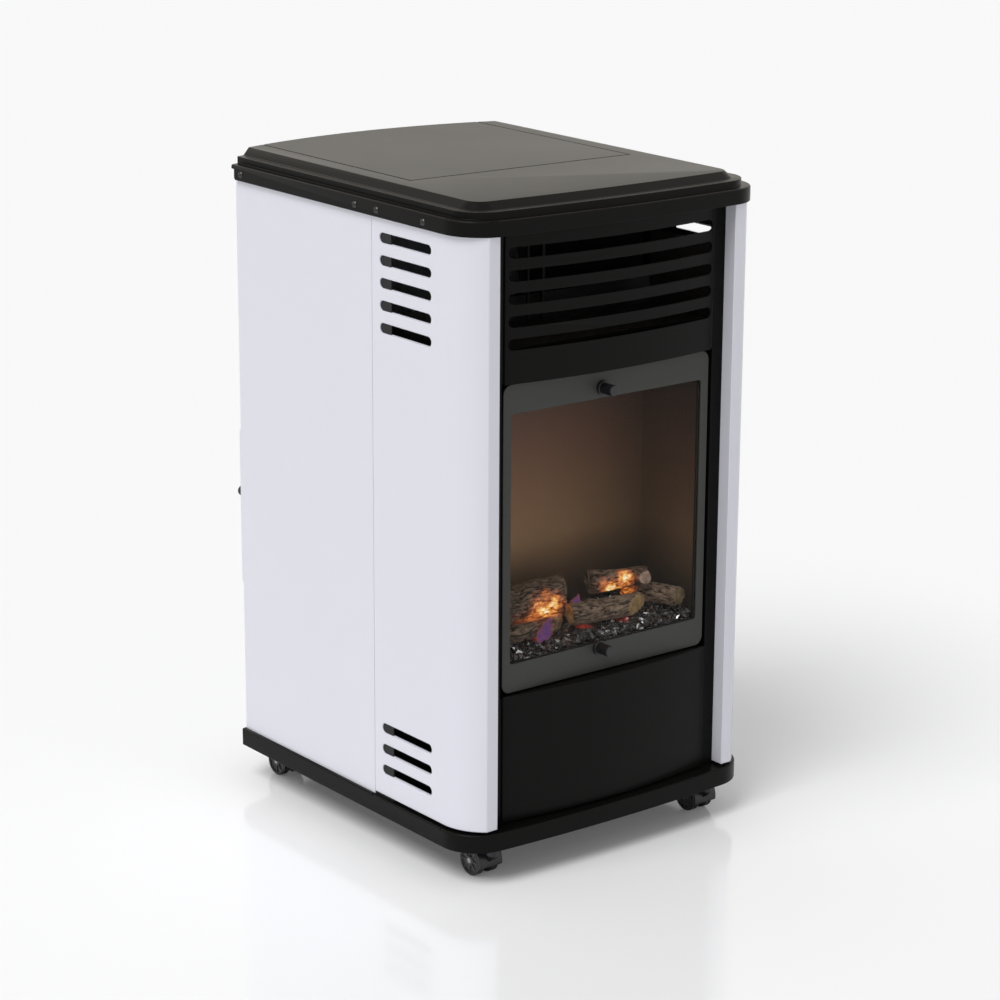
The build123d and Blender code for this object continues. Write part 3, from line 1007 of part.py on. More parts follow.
# ---------------------------------------------------------------- rear door, its pins and latch
with BuildPart() as rear_door:
    with BuildSketch(Plane.XY.offset(DOOR_BOTTOM)):
        add(plan(DOOR_INSET))
        with Locations((0, DOOR_FRONT_Y)):
            Rectangle(2 * DOOR_HALF_WIDTH, FAR, align=(Align.CENTER, Align.MIN), mode=Mode.INTERSECT)
    extrude(amount=DOOR_TOP - DOOR_BOTTOM)
    boss_mid = (BOSS_X, (BOSS_BOTTOM_Z + BOSS_TOP_Z) / 2)
    with BuildSketch(Plane.XZ.offset(-BOSS_FACE_Y)):
        with Locations(boss_mid):
            SlotOverall(BOSS_TOP_Z - BOSS_BOTTOM_Z, BOSS_WIDTH, rotation=90)
    extrude(amount=BOSS_FACE_Y - DOOR_FRONT_Y)
    fillet(rear_door.faces().filter_by(Plane.XZ).sort_by(Axis.Y)[-1].edges(), BOSS_ROUND)
    with BuildSketch(Plane.XZ.offset(-BOSS_FACE_Y + DOOR_SHEET)):
        with Locations(boss_mid):
            SlotOverall(BOSS_TOP_Z - BOSS_BOTTOM_Z - 2 * BOSS_ROUND, BOSS_WIDTH - 2 * BOSS_ROUND, rotation=90)
    extrude(amount=BOSS_FACE_Y - DOOR_FRONT_Y, mode=Mode.SUBTRACT)
    with BuildSketch(Plane.XY.offset(DOOR_BOTTOM + DOOR_FLANGE)):
        add(plan(DOOR_INSET + DOOR_SHEET))
        Rectangle(2 * (DOOR_HALF_WIDTH - DOOR_SHEET), 2 * FAR, mode=Mode.INTERSECT)
        with Locations((0, DOOR_FRONT_Y - DOOR_SHEET)):
            Rectangle(FAR, FAR, align=(Align.CENTER, Align.MIN), mode=Mode.INTERSECT)
    extrude(amount=DOOR_TOP - DOOR_BOTTOM - 2 * DOOR_FLANGE, mode=Mode.SUBTRACT)
    with Locations((DOOR_AXIS_X, DOOR_AXIS_Y, DOOR_BOTTOM)):
        Cylinder(DOOR_PIN_RADIUS + RUN_GAP, 2 * (DOOR_TOP - DOOR_BOTTOM) + FAR, mode=Mode.SUBTRACT)
    with Locations((BOSS_X, BOSS_FACE_Y, LATCH_Z)):
        Cylinder(SHANK_RADIUS + RUN_GAP, 2 * BOSS_WIDTH, rotation=(90, 0, 0), mode=Mode.SUBTRACT)
rear_door.part.label = "rear_door"
export_step(rear_door.part, "parts/rear_door.step")

ear_top = RIM_BOTTOM + DOOR_FLANGE / 2
with BuildPart() as door_hinge_pins:
    with Locations((DOOR_AXIS_X, DOOR_AXIS_Y, SOCKET_TOP)):
        Cylinder(DOOR_PIN_RADIUS, BASE_WALL + DOOR_PIN_REACH, align=(Align.CENTER, Align.CENTER, Align.MIN))
        Cylinder(DOOR_PIN_RADIUS + PIN_HEAD, PIN_HEAD, align=(Align.CENTER, Align.CENTER, Align.MAX))
    with Locations((DOOR_AXIS_X, DOOR_AXIS_Y, ear_top)):
        Cylinder(DOOR_PIN_RADIUS, DOOR_FLANGE + DOOR_PIN_REACH, align=(Align.CENTER, Align.CENTER, Align.MAX))
        Cylinder(DOOR_PIN_RADIUS + PIN_HEAD, PIN_HEAD, align=(Align.CENTER, Align.CENTER, Align.MIN))
door_hinge_pins.part.label = "door_hinge_pins"
export_step(door_hinge_pins.part, "parts/door_hinge_pins.step")

cam_back_y = CAM_FACE_Y - CAM_THICKNESS
with BuildPart() as latch_knob:
    with Locations((BOSS_X, BOSS_FACE_Y, LATCH_Z)):
        add(thumb_knob(LATCH_KNOB_LENGTH, BOSS_FACE_Y - cam_back_y), rotation=(-90, 0, 0))
latch_knob.part.label = "latch_knob"
export_step(latch_knob.part, "parts/latch_knob.step")

with BuildPart() as latch_cam:
    with BuildSketch(Plane.XZ.offset(-CAM_FACE_Y)):
        with Locations((BOSS_X, LATCH_Z)):
            Circle(CAM_WIDTH / 2)
            Rectangle(CAM_WIDTH, CAM_LENGTH, align=(Align.CENTER, Align.MIN))
            Circle(SHANK_RADIUS + RUN_GAP, mode=Mode.SUBTRACT)
    extrude(amount=CAM_THICKNESS)
latch_cam.part.label = "latch_cam"
export_step(latch_cam.part, "parts/latch_cam.step")

with BuildPart() as door_catch:
    with Locations((SHEET - BODY_HALF_WIDTH, CAM_FACE_Y + FIT_GAP, LATCH_Z)):
        Box(CATCH_REACH, CATCH_THICKNESS, CATCH_HEIGHT, align=(Align.MIN, Align.MIN, Align.CENTER))
door_catch.part.label = "door_catch"
export_step(door_catch.part, "parts/door_catch.step")

# ---------------------------------------------------------------- casters
caster_names = ("front_left", "front_right", "rear_left", "rear_right")
boss_top = BASE_Z - FIT_GAP
for (caster_x, caster_y), where in zip(caster_places, caster_names):
    axle = (caster_y + CASTER_TRAIL, WHEEL_RADIUS)
    wheel_outer = WHEEL_INNER_GAP + WHEEL_WIDTH

    # Body: swivel stem and boss, a web between the wheels, and a hood over them
    with BuildPart() as caster_body:
        with BuildSketch(Plane.YZ.offset(caster_x)):
            with Locations(axle):
                Circle(WEB_RADIUS)
            with Locations((caster_y, boss_top)):
                Rectangle(2 * STEM_BOSS_RADIUS, STEM_BOSS_HEIGHT, align=(Align.CENTER, Align.MAX))
            make_hull()
        extrude(amount=WEB_HALF_WIDTH, both=True)
        for depth, inner_radius in ((WEB_HALF_WIDTH, WEB_RADIUS / 2),
                                    (wheel_outer + HOOD_LAP, HOOD_RADIUS - HOOD_WALL)):
            with BuildSketch(Plane.YZ.offset(caster_x)):
                with BuildLine():
                    outer_arc = CenterArc(axle, HOOD_RADIUS, HOOD_START, HOOD_SPAN)
                    inner_arc = CenterArc(axle, inner_radius, HOOD_START, HOOD_SPAN)
                    Line(outer_arc @ 0, inner_arc @ 0)
                    Line(outer_arc @ 1, inner_arc @ 1)
                make_face()
            extrude(amount=depth, both=True)
        with Locations((caster_x, caster_y, boss_top)):
            Cylinder(STEM_BOSS_RADIUS, STEM_BOSS_HEIGHT, align=(Align.CENTER, Align.CENTER, Align.MAX))
            Cylinder(STEM_RADIUS, SOCKET_TOP - boss_top - STEM_END_GAP,
                     align=(Align.CENTER, Align.CENTER, Align.MIN))
        with Locations((caster_x, axle[0], axle[1])):
            Cylinder(AXLE_RADIUS + RUN_GAP, 2 * FAR, rotation=(0, 90, 0), mode=Mode.SUBTRACT)
    caster_body.part.label = f"caster_body_{where}"
    export_step(caster_body.part, f"parts/caster_body_{where}.step")

    with BuildPart() as caster_axle:
        with Locations((caster_x, axle[0], axle[1])):
            Cylinder(AXLE_RADIUS, 2 * wheel_outer, rotation=(0, 90, 0))
    caster_axle.part.label = f"caster_axle_{where}"
    export_step(caster_axle.part, f"parts/caster_axle_{where}.step")

    with BuildPart() as caster_wheels:
        for side in (-1, 1):
            with BuildSketch(Plane(origin=(caster_x + side * WHEEL_INNER_GAP, axle[0], axle[1]),
                                   x_dir=(0, 1, 0), z_dir=(side, 0, 0))):
                Circle(WHEEL_RADIUS)
                Circle(AXLE_RADIUS + RUN_GAP, mode=Mode.SUBTRACT)
            extrude(amount=WHEEL_WIDTH)
        rims = caster_wheels.edges().filter_by(GeomType.CIRCLE).filter_by(
            lambda edge: edge.radius > WHEEL_RADIUS - FIT_GAP)
        fillet(rims, TYRE_ROUND)
    caster_wheels.part.label = f"caster_wheels_{where}"
    export_step(caster_wheels.part, f"parts/caster_wheels_{where}.step")
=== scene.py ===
# %% [markdown]
# # A portable gas cabinet heater
# The heater is a white steel cabinet with a black bowed front, a stepped black cover and a log fire behind glass.
# The working model comes in as a fixed frame: every sheet, hinge and wheel is already in its place, in metres.
# This lesson gives each of them its finish, and builds what a plain solid can't show: bark, coals, flames, tyres.

import json
import math
import random

import bmesh
import bpy
from mathutils import Matrix, Vector, noise
from mathutils.bvhtree import BVHTree


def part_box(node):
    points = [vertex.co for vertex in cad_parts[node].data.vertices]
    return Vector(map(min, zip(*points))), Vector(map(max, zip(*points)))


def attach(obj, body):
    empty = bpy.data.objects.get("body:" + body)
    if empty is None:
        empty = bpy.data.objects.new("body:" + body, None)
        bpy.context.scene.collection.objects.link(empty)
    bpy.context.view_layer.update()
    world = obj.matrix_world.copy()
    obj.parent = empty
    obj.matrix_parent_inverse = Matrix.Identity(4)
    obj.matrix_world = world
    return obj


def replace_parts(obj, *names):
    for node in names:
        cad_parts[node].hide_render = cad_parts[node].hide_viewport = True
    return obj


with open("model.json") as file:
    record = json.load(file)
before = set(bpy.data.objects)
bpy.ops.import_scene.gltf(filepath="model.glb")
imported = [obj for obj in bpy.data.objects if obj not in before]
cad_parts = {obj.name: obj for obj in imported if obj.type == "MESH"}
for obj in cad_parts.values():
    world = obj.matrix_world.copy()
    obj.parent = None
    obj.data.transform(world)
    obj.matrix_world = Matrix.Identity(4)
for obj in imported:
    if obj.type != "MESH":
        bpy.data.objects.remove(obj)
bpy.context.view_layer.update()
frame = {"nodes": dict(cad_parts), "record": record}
nodes = frame["nodes"]
body_of = {node: body for body, members in frame["record"]["behaviour"]["bodies"].items() for node in members}

# %% [markdown]
# ## The camera
# The photograph looks down on the heater from its front left corner, with a long lens from about four metres.
# A camera could be placed by trial, but here its place was solved from the cabinet's straight edges, so it is given
# as numbers: where it stands, how it is turned, and its focal length in pixels of a 1000 pixel wide frame.
# The picture is a crop of a wider one, which a small lens shift reproduces.

# %% Camera
FRAME_PIXELS = 1000
SENSOR_MM = 36.0
CAMERA_PLACE = Vector((-2.09622, -2.74553, 1.36282))
CAMERA_YAW = math.radians(40.283)
CAMERA_PITCH = math.radians(16.016)
CAMERA_ROLL = math.radians(1.04)
FOCAL_PIXELS = 2977.92
OPTICAL_CENTRE = (633.59, 502.5)

ahead = Vector((math.sin(CAMERA_YAW) * math.cos(CAMERA_PITCH),
                math.cos(CAMERA_YAW) * math.cos(CAMERA_PITCH), -math.sin(CAMERA_PITCH)))
level_right = Vector((math.cos(CAMERA_YAW), -math.sin(CAMERA_YAW), 0))
level_up = level_right.cross(ahead)
right = math.cos(CAMERA_ROLL) * level_right + math.sin(CAMERA_ROLL) * level_up
up = math.cos(CAMERA_ROLL) * level_up - math.sin(CAMERA_ROLL) * level_right

camera_data = bpy.data.cameras.new("photo_camera")
camera_data.sensor_width = SENSOR_MM
camera_data.lens = FOCAL_PIXELS / FRAME_PIXELS * SENSOR_MM
camera_data.shift_x = 0.5 - OPTICAL_CENTRE[0] / FRAME_PIXELS
camera_data.shift_y = OPTICAL_CENTRE[1] / FRAME_PIXELS - 0.5
camera_data.clip_end = 100
camera = bpy.data.objects.new("photo_camera", camera_data)
scene = bpy.context.scene
scene.collection.objects.link(camera)
camera.matrix_world = Matrix.Translation(CAMERA_PLACE) @ Matrix((right, up, -ahead)).transposed().to_4x4()
scene.camera = camera
print("camera: lens", round(camera_data.lens, 2), "mm, shift", round(camera_data.shift_x, 4),
      round(camera_data.shift_y, 4))

# %% [markdown]
# ## The studio
# The heater stands on a white floor in a white room. A curved paper sweep would give this in a real studio. Here a
# large flat floor under a white world gives the same picture with one surface. The floor is a little glossy, because
# the photograph shows a faint reflection, and it keeps the shadow. The world is white to the lens, slightly warm in
# reflections, and lights the scene at a plain level. The floor's own mirror layer is as much blue as the reflections
# are warm, so that the floor stays neutral.

# %% Floor and world
scene.view_settings.view_transform = "Standard"
WORLD_STRENGTH = 0.43
BACKDROP_WHITE = 0.975
REFLECTED_WHITE = (0.97, 0.925, 0.845, 1)
FLOOR_HALF = 12.0
FLOOR_COLOUR = (0.95, 0.95, 0.95, 1)
FLOOR_GLOSS = 0.14
FLOOR_ROUGHNESS = 0.12
FLOOR_MIRROR = (0.870, 0.913, 1.0, 1)
FLOOR_LIFT = 0.070


def feed(tree, value, socket):
    """Gives an input a plain value, or links it to an output."""
    if isinstance(value, bpy.types.NodeSocket):
        tree.links.new(value, socket)
    else:
        socket.default_value = value


def added(tree, kind, inputs=None, **settings):
    """A new shader node of a kind. Each of its inputs is given a plain value or an output."""
    node = tree.nodes.new("ShaderNode" + kind)
    for key, value in settings.items():
        setattr(node, key, value)
    for key, value in (inputs or {}).items():
        feed(tree, value, node.inputs[key])
    return node


def worked(tree, operation, first, second=0.0):
    """The result of a calculation, where each side is a number or an output."""
    return added(tree, "Math", {0: first, 1: second}, operation=operation).outputs[0]


world = bpy.data.worlds.new("studio")
scene.world = world
world.use_nodes = True
sky = world.node_tree
sky.nodes.clear()
sky_path = added(sky, "LightPath").outputs
sky_light = added(sky, "Background", {"Color": (1, 1, 1, 1), "Strength": WORLD_STRENGTH}).outputs[0]
sky_gloss = added(sky, "Background", {"Color": REFLECTED_WHITE}).outputs[0]
sky_white = added(sky, "Background", {"Color": (BACKDROP_WHITE,) * 3 + (1,)}).outputs[0]
seen = worked(sky, "MAXIMUM", sky_path["Is Camera Ray"], sky_path["Is Transmission Ray"])
mirrored = added(sky, "MixShader", {0: sky_path["Is Glossy Ray"], 1: sky_light, 2: sky_gloss}).outputs[0]
sky_mix = added(sky, "MixShader", {0: seen, 1: mirrored, 2: sky_white}).outputs[0]
added(sky, "OutputWorld", {0: sky_mix})


def new_object(name, mesh):
    """Puts a mesh into the scene as an object."""
    piece = bpy.data.objects.new(name, mesh)
    scene.collection.objects.link(piece)
    return piece


floor_mesh = bpy.data.meshes.new("studio_floor")
floor_mesh.from_pydata([(-FLOOR_HALF, -FLOOR_HALF, 0), (FLOOR_HALF, -FLOOR_HALF, 0),
                        (FLOOR_HALF, FLOOR_HALF, 0), (-FLOOR_HALF, FLOOR_HALF, 0)], [], [(0, 1, 2, 3)])
studio_floor = new_object("studio_floor", floor_mesh)
floor_paint = bpy.data.materials.new("studio_floor")
floor_paint.use_nodes = True
floor_tree = floor_paint.node_tree
floor_tree.nodes.clear()
floor_matt = added(floor_tree, "BsdfDiffuse", {"Color": FLOOR_COLOUR}).outputs[0]
floor_gloss = added(floor_tree, "BsdfGlossy", {"Color": FLOOR_MIRROR, "Roughness": FLOOR_ROUGHNESS}).outputs[0]
floor_surface = added(floor_tree, "MixShader", {0: FLOOR_GLOSS, 1: floor_matt, 2: floor_gloss}).outputs[0]
floor_lift = worked(floor_tree, "MULTIPLY", added(floor_tree, "LightPath").outputs["Is Camera Ray"], FLOOR_LIFT)
floor_glow = added(floor_tree, "Emission", {"Strength": floor_lift}).outputs[0]
floor_sum = added(floor_tree, "AddShader", {0: floor_surface, 1: floor_glow}).outputs[0]
added(floor_tree, "OutputMaterial", {"Surface": floor_sum})
floor_mesh.materials.append(floor_paint)

# %% [markdown]
# ## One soft main light
# The left side is brighter than the front, and the shadow falls softly to the right, so the main light comes from
# the upper left. An area lamp would light the near floor more than the far floor. A wide sun lights both alike,
# and its wide angle makes the shadow as soft as a large diffuser would.

# %% Main light
SUN_STRENGTH = 1.85
SUN_SOFTNESS = math.radians(34)
SUN_FROM = Vector((-0.60, -0.12, 0.95))
sun = bpy.data.lights.new("main_light", "SUN")
sun.energy = SUN_STRENGTH
sun.angle = SUN_SOFTNESS
sun_object = bpy.data.objects.new("main_light", sun)
scene.collection.objects.link(sun_object)
sun_object.rotation_euler = SUN_FROM.to_track_quat("Z", "Y").to_euler()
print("main light from", tuple(round(part, 2) for part in SUN_FROM.normalized()))

# %% [markdown]
# ## A helper for finishes
# Real paint and metal are never quite even: the sheen drifts, and there is a fine grain. Each finish below is a
# Principled shader whose roughness and colour are moved a little by noise, with a bump for the grain. Image textures
# could do this too, but noise needs no file and has no seams.

# %% Finish helper
GRAIN_HEIGHT = 0.0004
SMOOTHEST = 0.02


def new_paint(name):
    """A new material, with its node tree and its Principled shader."""
    made = bpy.data.materials.new(name)
    made.use_nodes = True
    return made, made.node_tree, made.node_tree.nodes["Principled BSDF"]


def ranged(tree, value, low, high, from_low=0.0, from_high=1.0):
    """A value carried over from one range to another."""
    return added(tree, "MapRange", {"Value": value, "From Min": from_low, "From Max": from_high,
                                    "To Min": low, "To Max": high}).outputs["Result"]


def mixed(tree, share, first, second):
    """A mix of two colours, where each is an output or a plain colour."""
    return added(tree, "Mix", {"Factor": share, "A": first, "B": second}, data_type="RGBA").outputs["Result"]


def ramp(tree, value, *stops):
    """A colour ramp with stops of a position and a colour, from its first to its last."""
    node = added(tree, "ValToRGB", {"Fac": value})
    elements = node.color_ramp.elements
    for element, (position, colour) in zip(elements, (stops[0], stops[-1])):
        element.position = position
        element.color = (*colour, 1)
    for position, colour in stops[1:-1]:
        elements.new(position).color = (*colour, 1)
    return node.outputs["Color"]


def place_in(tree):
    """The place of a surface point, in metres."""
    return added(tree, "TexCoord").outputs["Object"]


def finish(name, colour, roughness, *, drift=0.04, drift_scale=6.0, tone=0.04, grain=0.0, grain_scale=900.0,
           metallic=0.0, specular=0.5, coat=0.0, coat_roughness=0.1, stretch=(1, 1, 1)):
    """A painted, moulded or metal finish, with noise in its colour, roughness and grain."""
    made, tree, shader = new_paint(name)
    spread = added(tree, "Mapping", {"Vector": place_in(tree), "Scale": stretch}).outputs["Vector"]
    cloud = added(tree, "TexNoise", {"Vector": spread, "Scale": drift_scale, "Detail": 4}, name="cloud")
    cloud = cloud.outputs["Fac"]
    sheen = ranged(tree, cloud, max(roughness - drift, SMOOTHEST), min(roughness + drift, 1))
    darker = (*[channel * (1 - tone) for channel in colour], 1)
    lighter = (*[min(channel * (1 + tone), 1) for channel in colour], 1)
    tint = added(tree, "Mix", {"Factor": cloud, "A": darker, "B": lighter}, data_type="RGBA", name="tint")
    for key, value in (("Metallic", metallic), ("Specular IOR Level", specular), ("Coat Weight", coat),
                       ("Coat Roughness", coat_roughness), ("Roughness", sheen),
                       ("Base Color", tint.outputs["Result"])):
        feed(tree, value, shader.inputs[key])
    if grain:
        speck = added(tree, "TexNoise", {"Vector": spread, "Scale": grain_scale, "Detail": 2}).outputs["Fac"]
        bump = added(tree, "Bump", {"Strength": grain, "Distance": GRAIN_HEIGHT, "Height": speck})
        feed(tree, bump.outputs["Normal"], shader.inputs["Normal"])
    return made


def dress(made, *names):
    """Gives a finish to CAD nodes."""
    for name in names:
        mesh = nodes[name].data
        mesh.materials.clear()
        mesh.materials.append(made)
    print(made.name, "on", ", ".join(names))


# %% [markdown]
# ## White powder coat
# The side panels, corner posts and rear door are powder coated white, with a faint blue cast. Powder flows out
# into a smooth film with a slight orange peel, so the finish is glossy, with a very fine bump. The door is white all
# round. The inside faces of the walls are coloured near black. This is painted shade, standing in for the dark inside
# of the cabinet seen through the slots. The shader finds the inside from where the surface is and which way it faces:
# there, the normal points back across the cabinet.

# %% White powder coat
def white_finish(name):
    """The white coat under a given name."""
    return finish(name, (0.73, 0.733, 0.805), 0.32, drift=0.03, tone=0.008, grain=0.10, grain_scale=420,
                  coat=0.25, coat_roughness=0.12)


white_coat = white_finish("white_powder_coat")
door_coat = white_finish("white_door_coat")
HANDS = ("left", "right")
WALL_X = 0.18
# Painted shade: the near black of the cabinet's inside, seen through the slots.
INSIDE_SHADE = (0.035, 0.036, 0.038, 1)


def paint_inside_shade(made):
    """Paints a wall's inner face near black as painted shade: where |x| is over WALL_X and the normal points to the
    middle.
    """
    tree = made.node_tree
    across = added(tree, "SeparateXYZ", {"Vector": place_in(tree)}).outputs["X"]
    normal = added(tree, "NewGeometry").outputs["True Normal"]
    facing = added(tree, "SeparateXYZ", {"Vector": normal}).outputs["X"]
    faces_in = worked(tree, "LESS_THAN", worked(tree, "MULTIPLY", across, facing), -0.5 * WALL_X)
    is_wall = worked(tree, "GREATER_THAN", worked(tree, "ABSOLUTE", across), WALL_X)
    inside = worked(tree, "MULTIPLY", faces_in, is_wall)
    paint = mixed(tree, inside, tree.nodes["tint"].outputs["Result"], INSIDE_SHADE)
    feed(tree, paint, tree.nodes["Principled BSDF"].inputs["Base Color"])


paint_inside_shade(white_coat)
dress(white_coat, *[f"side_panel_{hand}" for hand in HANDS], *[f"corner_post_{hand}" for hand in HANDS])
dress(door_coat, "rear_door")

# %% [markdown]
# ## Black powder coat
# Base, cover, lid and bowed front are satin black. Seen flat on they are nearly black, and seen at a low angle, as
# the top is, they mirror the white room. A low base colour with a low specular level gives both. The warm white of
# the reflections and a slight warm sheen give the brownish grey of the top.

# %% Black powder coat
WARM_SHEEN = (1.0, 0.95, 0.88, 1)
black_coat = finish("black_powder_coat", (0.0034, 0.0034, 0.0032), 0.30, drift=0.03, tone=0.10, grain=0.14,
                    grain_scale=700, specular=0.095)
black_shader = black_coat.node_tree.nodes["Principled BSDF"]
black_shader.inputs["Sheen Weight"].default_value = 0.03
black_shader.inputs["Sheen Roughness"].default_value = 0.25
black_shader.inputs["Sheen Tint"].default_value = WARM_SHEEN
dress(black_coat, "base_plate", "top_cover", "top_lid", "louvre_panel", "lower_panel", "chassis_front",
      "control_tray")

# %% [markdown]
# ## Frame paint, plastics and fittings
# The glass frame has a matt dark grey paint, lighter than the panels round it. Knobs and casters are moulded black
# plastic. The steel fittings are zinc plated, the sheet metal inside is galvanised and dulled by heat, and the rim
# screws are blackened steel domes that catch a small glint. The joiner strips, the bottle shield and the gas pipes
# behind the slots are coloured near black. This is painted shade, for the dark they stand in.

# %% Frame paint, plastics and fittings
grey_paint = finish("grey_frame_paint", (0.045, 0.046, 0.043), 0.5, drift=0.05, tone=0.06, grain=0.2,
                    grain_scale=800, specular=0.3)
dress(grey_paint, "glass_frame")
black_plastic = finish("black_plastic", (0.010, 0.010, 0.013), 0.34, drift=0.06, grain=0.25, grain_scale=1500)
CASTERS = ("front_left", "front_right", "rear_left", "rear_right")
dress(black_plastic, "thumb_knob_top", "thumb_knob_bottom", "latch_knob", "control_knob", "igniter_body",
      *[f"caster_body_{where}" for where in CASTERS])
red_plastic = finish("red_plastic", (0.45, 0.02, 0.015), 0.25, grain=0.1)
dress(red_plastic, "igniter_button")
zinc = finish("zinc_plate", (0.40, 0.40, 0.39), 0.34, drift=0.10, tone=0.12, metallic=1.0, grain=0.2)
dress(zinc, "door_hinge_pins", "lid_hinge_pins", "door_catch", "latch_cam", "caster_sockets",
      *[f"caster_axle_{where}" for where in CASTERS])
screw_black = finish("screw_steel", (0.055, 0.054, 0.052), 0.08, drift=0.03, metallic=1.0)
galvanised = finish("galvanised_steel", (0.20, 0.20, 0.20), 0.45, drift=0.16, drift_scale=60, tone=0.3,
                    metallic=0.8, grain=0.2)
dress(galvanised, "door_brackets")
# Painted shade: the joiner strips and the bottle shield are near black for the shade behind the slots.
painted_shade_black = finish("painted_shade_black", (0.016, 0.016, 0.018), 0.6, drift=0.1, drift_scale=90, tone=0.35, grain=0.5,
                     specular=0.25)
dress(painted_shade_black, *[f"panel_joiner_{hand}" for hand in HANDS], "bottle_shield")
brass = finish("brass_fittings", (0.62, 0.43, 0.17), 0.3, drift=0.1, tone=0.12, metallic=1.0, grain=0.15)
dress(brass, "pilot_burner", "thermocouple", "gas_inlet")
cast_aluminium = finish("cast_aluminium", (0.50, 0.51, 0.52), 0.5, drift=0.1, tone=0.1, metallic=1.0, grain=0.5)
dress(cast_aluminium, "gas_valve")
# Painted shade: the burner and pilot pipes are near black for the shade behind the front slots.
pipe_in_painted_shade = finish("pipe_in_painted_shade", (0.030, 0.028, 0.026), 0.5, drift=0.08, metallic=1.0, grain=0.1)
dress(pipe_in_painted_shade, "burner_pipe", "pilot_pipe")
insulator = finish("white_ceramic", (0.8, 0.79, 0.75), 0.2, drift=0.05)
dress(insulator, "ignition_electrode")
fibre = finish("fibre_gasket", (0.02, 0.02, 0.02), 0.95, tone=0.3, drift_scale=300, grain=0.8)
dress(fibre, "glass_gasket")

# %% [markdown]
# ## Scorched firebox and painted firelight
# The steel behind the fire has browned with heat, dark and reddish at the top. The fire's light on it is painted
# into its colour: lighter and olive low on the left, where the fire lights it, and darker to the right. A colour ramp
# follows the height, a second one the width, and noise stretched upwards draws faint streaks.

# %% Scorched steel and painted firelight
scorched_firelit = finish("scorched_steel", (0.060, 0.036, 0.026), 0.6, drift=0.1, drift_scale=9, tone=0.3, grain=0.3,
                  stretch=(1, 1, 0.15))
FIRE_LOW_Z = 0.27
FIRE_HIGH_Z = 0.56
FIRE_LEFT_X = -0.10
FIRE_RIGHT_X = 0.17
FIRE_LEFT_LIGHT = 1.15
FIRE_RIGHT_LIGHT = 0.32


def paint_firelight(made):
    """Paints firelight on the firebox steel, from its lit lower left to its dark top and right."""
    tree = made.node_tree
    where = added(tree, "SeparateXYZ", {"Vector": place_in(tree)}).outputs
    height = ranged(tree, where["Z"], 0, 1, FIRE_LOW_Z, FIRE_HIGH_Z)
    # Painted firelight: the bright band just above the fire is the fire's light. The dark reddish top is heat
    # browning.
    tint = ramp(tree, height, (0, (0.10, 0.066, 0.038)), (0.28, (0.52, 0.29, 0.135)),
                (0.65, (0.29, 0.130, 0.068)), (1, (0.070, 0.030, 0.022)))
    # Painted firelight: lighter on the left near the fire, darker to the right.
    side = ranged(tree, where["X"], FIRE_LEFT_LIGHT, FIRE_RIGHT_LIGHT, FIRE_LEFT_X, FIRE_RIGHT_X)
    streak = ranged(tree, tree.nodes["cloud"].outputs["Fac"], 0.8, 1.2)
    lit = worked(tree, "MULTIPLY", side, streak)
    tinted = added(tree, "VectorMath", {0: tint, "Scale": lit}, operation="SCALE").outputs[0]
    feed(tree, tinted, tree.nodes["Principled BSDF"].inputs["Base Color"])


paint_firelight(scorched_firelit)
dress(scorched_firelit, "firebox_liner")
sooty = finish("sooty_steel", (0.022, 0.020, 0.018), 0.55, drift=0.15, drift_scale=140, tone=0.6, grain=0.6,
               specular=0.4)
dress(sooty, "burner_tray", "burner_tube", "firebox_hood")

# %% [markdown]
# ## Glass
# The window is a flat pane of heat-resistant glass, a little smoked. A full refracting glass is slow and adds
# nothing to a flat pane, so most of it lets light straight through, and the rest is a smooth mirror.

# %% Glass
pane, pane_tree, pane_shader = new_paint("fire_glass")
smear = added(pane_tree, "TexNoise", {"Scale": 14}).outputs["Fac"]
for key, value in (("Base Color", (0.03, 0.025, 0.02, 1)), ("Alpha", 0.12), ("Specular IOR Level", 0.4),
                   ("Roughness", ranged(pane_tree, smear, 0.02, 0.09))):
    feed(pane_tree, value, pane_shader.inputs[key])
dress(pane, "fire_glass")

# %% [markdown]
# ## Domed rim screws
# Four screws on each side hold the cover to the cabinet. The working model has plain pan heads. The real ones are
# domes with a cross recess, which catch one small glint, so each head is made again as rings of points: the height
# follows a sphere, and drops where the two arms of the cross run.

# %% Domed rim screws
SCREW_RINGS = 22
SCREW_TURNS = 48
CROSS_REACH = 0.0019
CROSS_HALF = 0.00042
CROSS_DEPTH = 0.0007


def settle(name, shape, *finishes):
    """Turns a made shape into an object of the scene, with its finishes."""
    mesh = bpy.data.meshes.new(name)
    shape.to_mesh(mesh)
    shape.free()
    for made in finishes:
        mesh.materials.append(made)
    return new_object(name, mesh)


def screw_head(made, middle, radius, height, side_sign):
    """One domed head with a cross recess, standing out from the rim on one side."""
    sphere = (radius ** 2 + height ** 2) / (2 * height)
    loops = []
    for ring in range(1, SCREW_RINGS + 1):
        reach = radius * ring / SCREW_RINGS
        rise = math.sqrt(sphere ** 2 - reach ** 2) - (sphere - height)
        loop = []
        for turn in range(SCREW_TURNS):
            angle = 2 * math.pi * turn / SCREW_TURNS
            across, above = reach * math.cos(angle), reach * math.sin(angle)
            in_cross = min(abs(across), abs(above)) < CROSS_HALF and reach < CROSS_REACH
            out = rise - (CROSS_DEPTH if in_cross else 0)
            loop.append(made.verts.new((middle.x + side_sign * out, middle.y + across, middle.z + above)))
        loops.append(loop)
    for here, following in zip(loops, loops[1:]):
        for turn in range(SCREW_TURNS):
            after = (turn + 1) % SCREW_TURNS
            made.faces.new((here[turn], here[after], following[after], following[turn]))
    made.faces.new(loops[0])


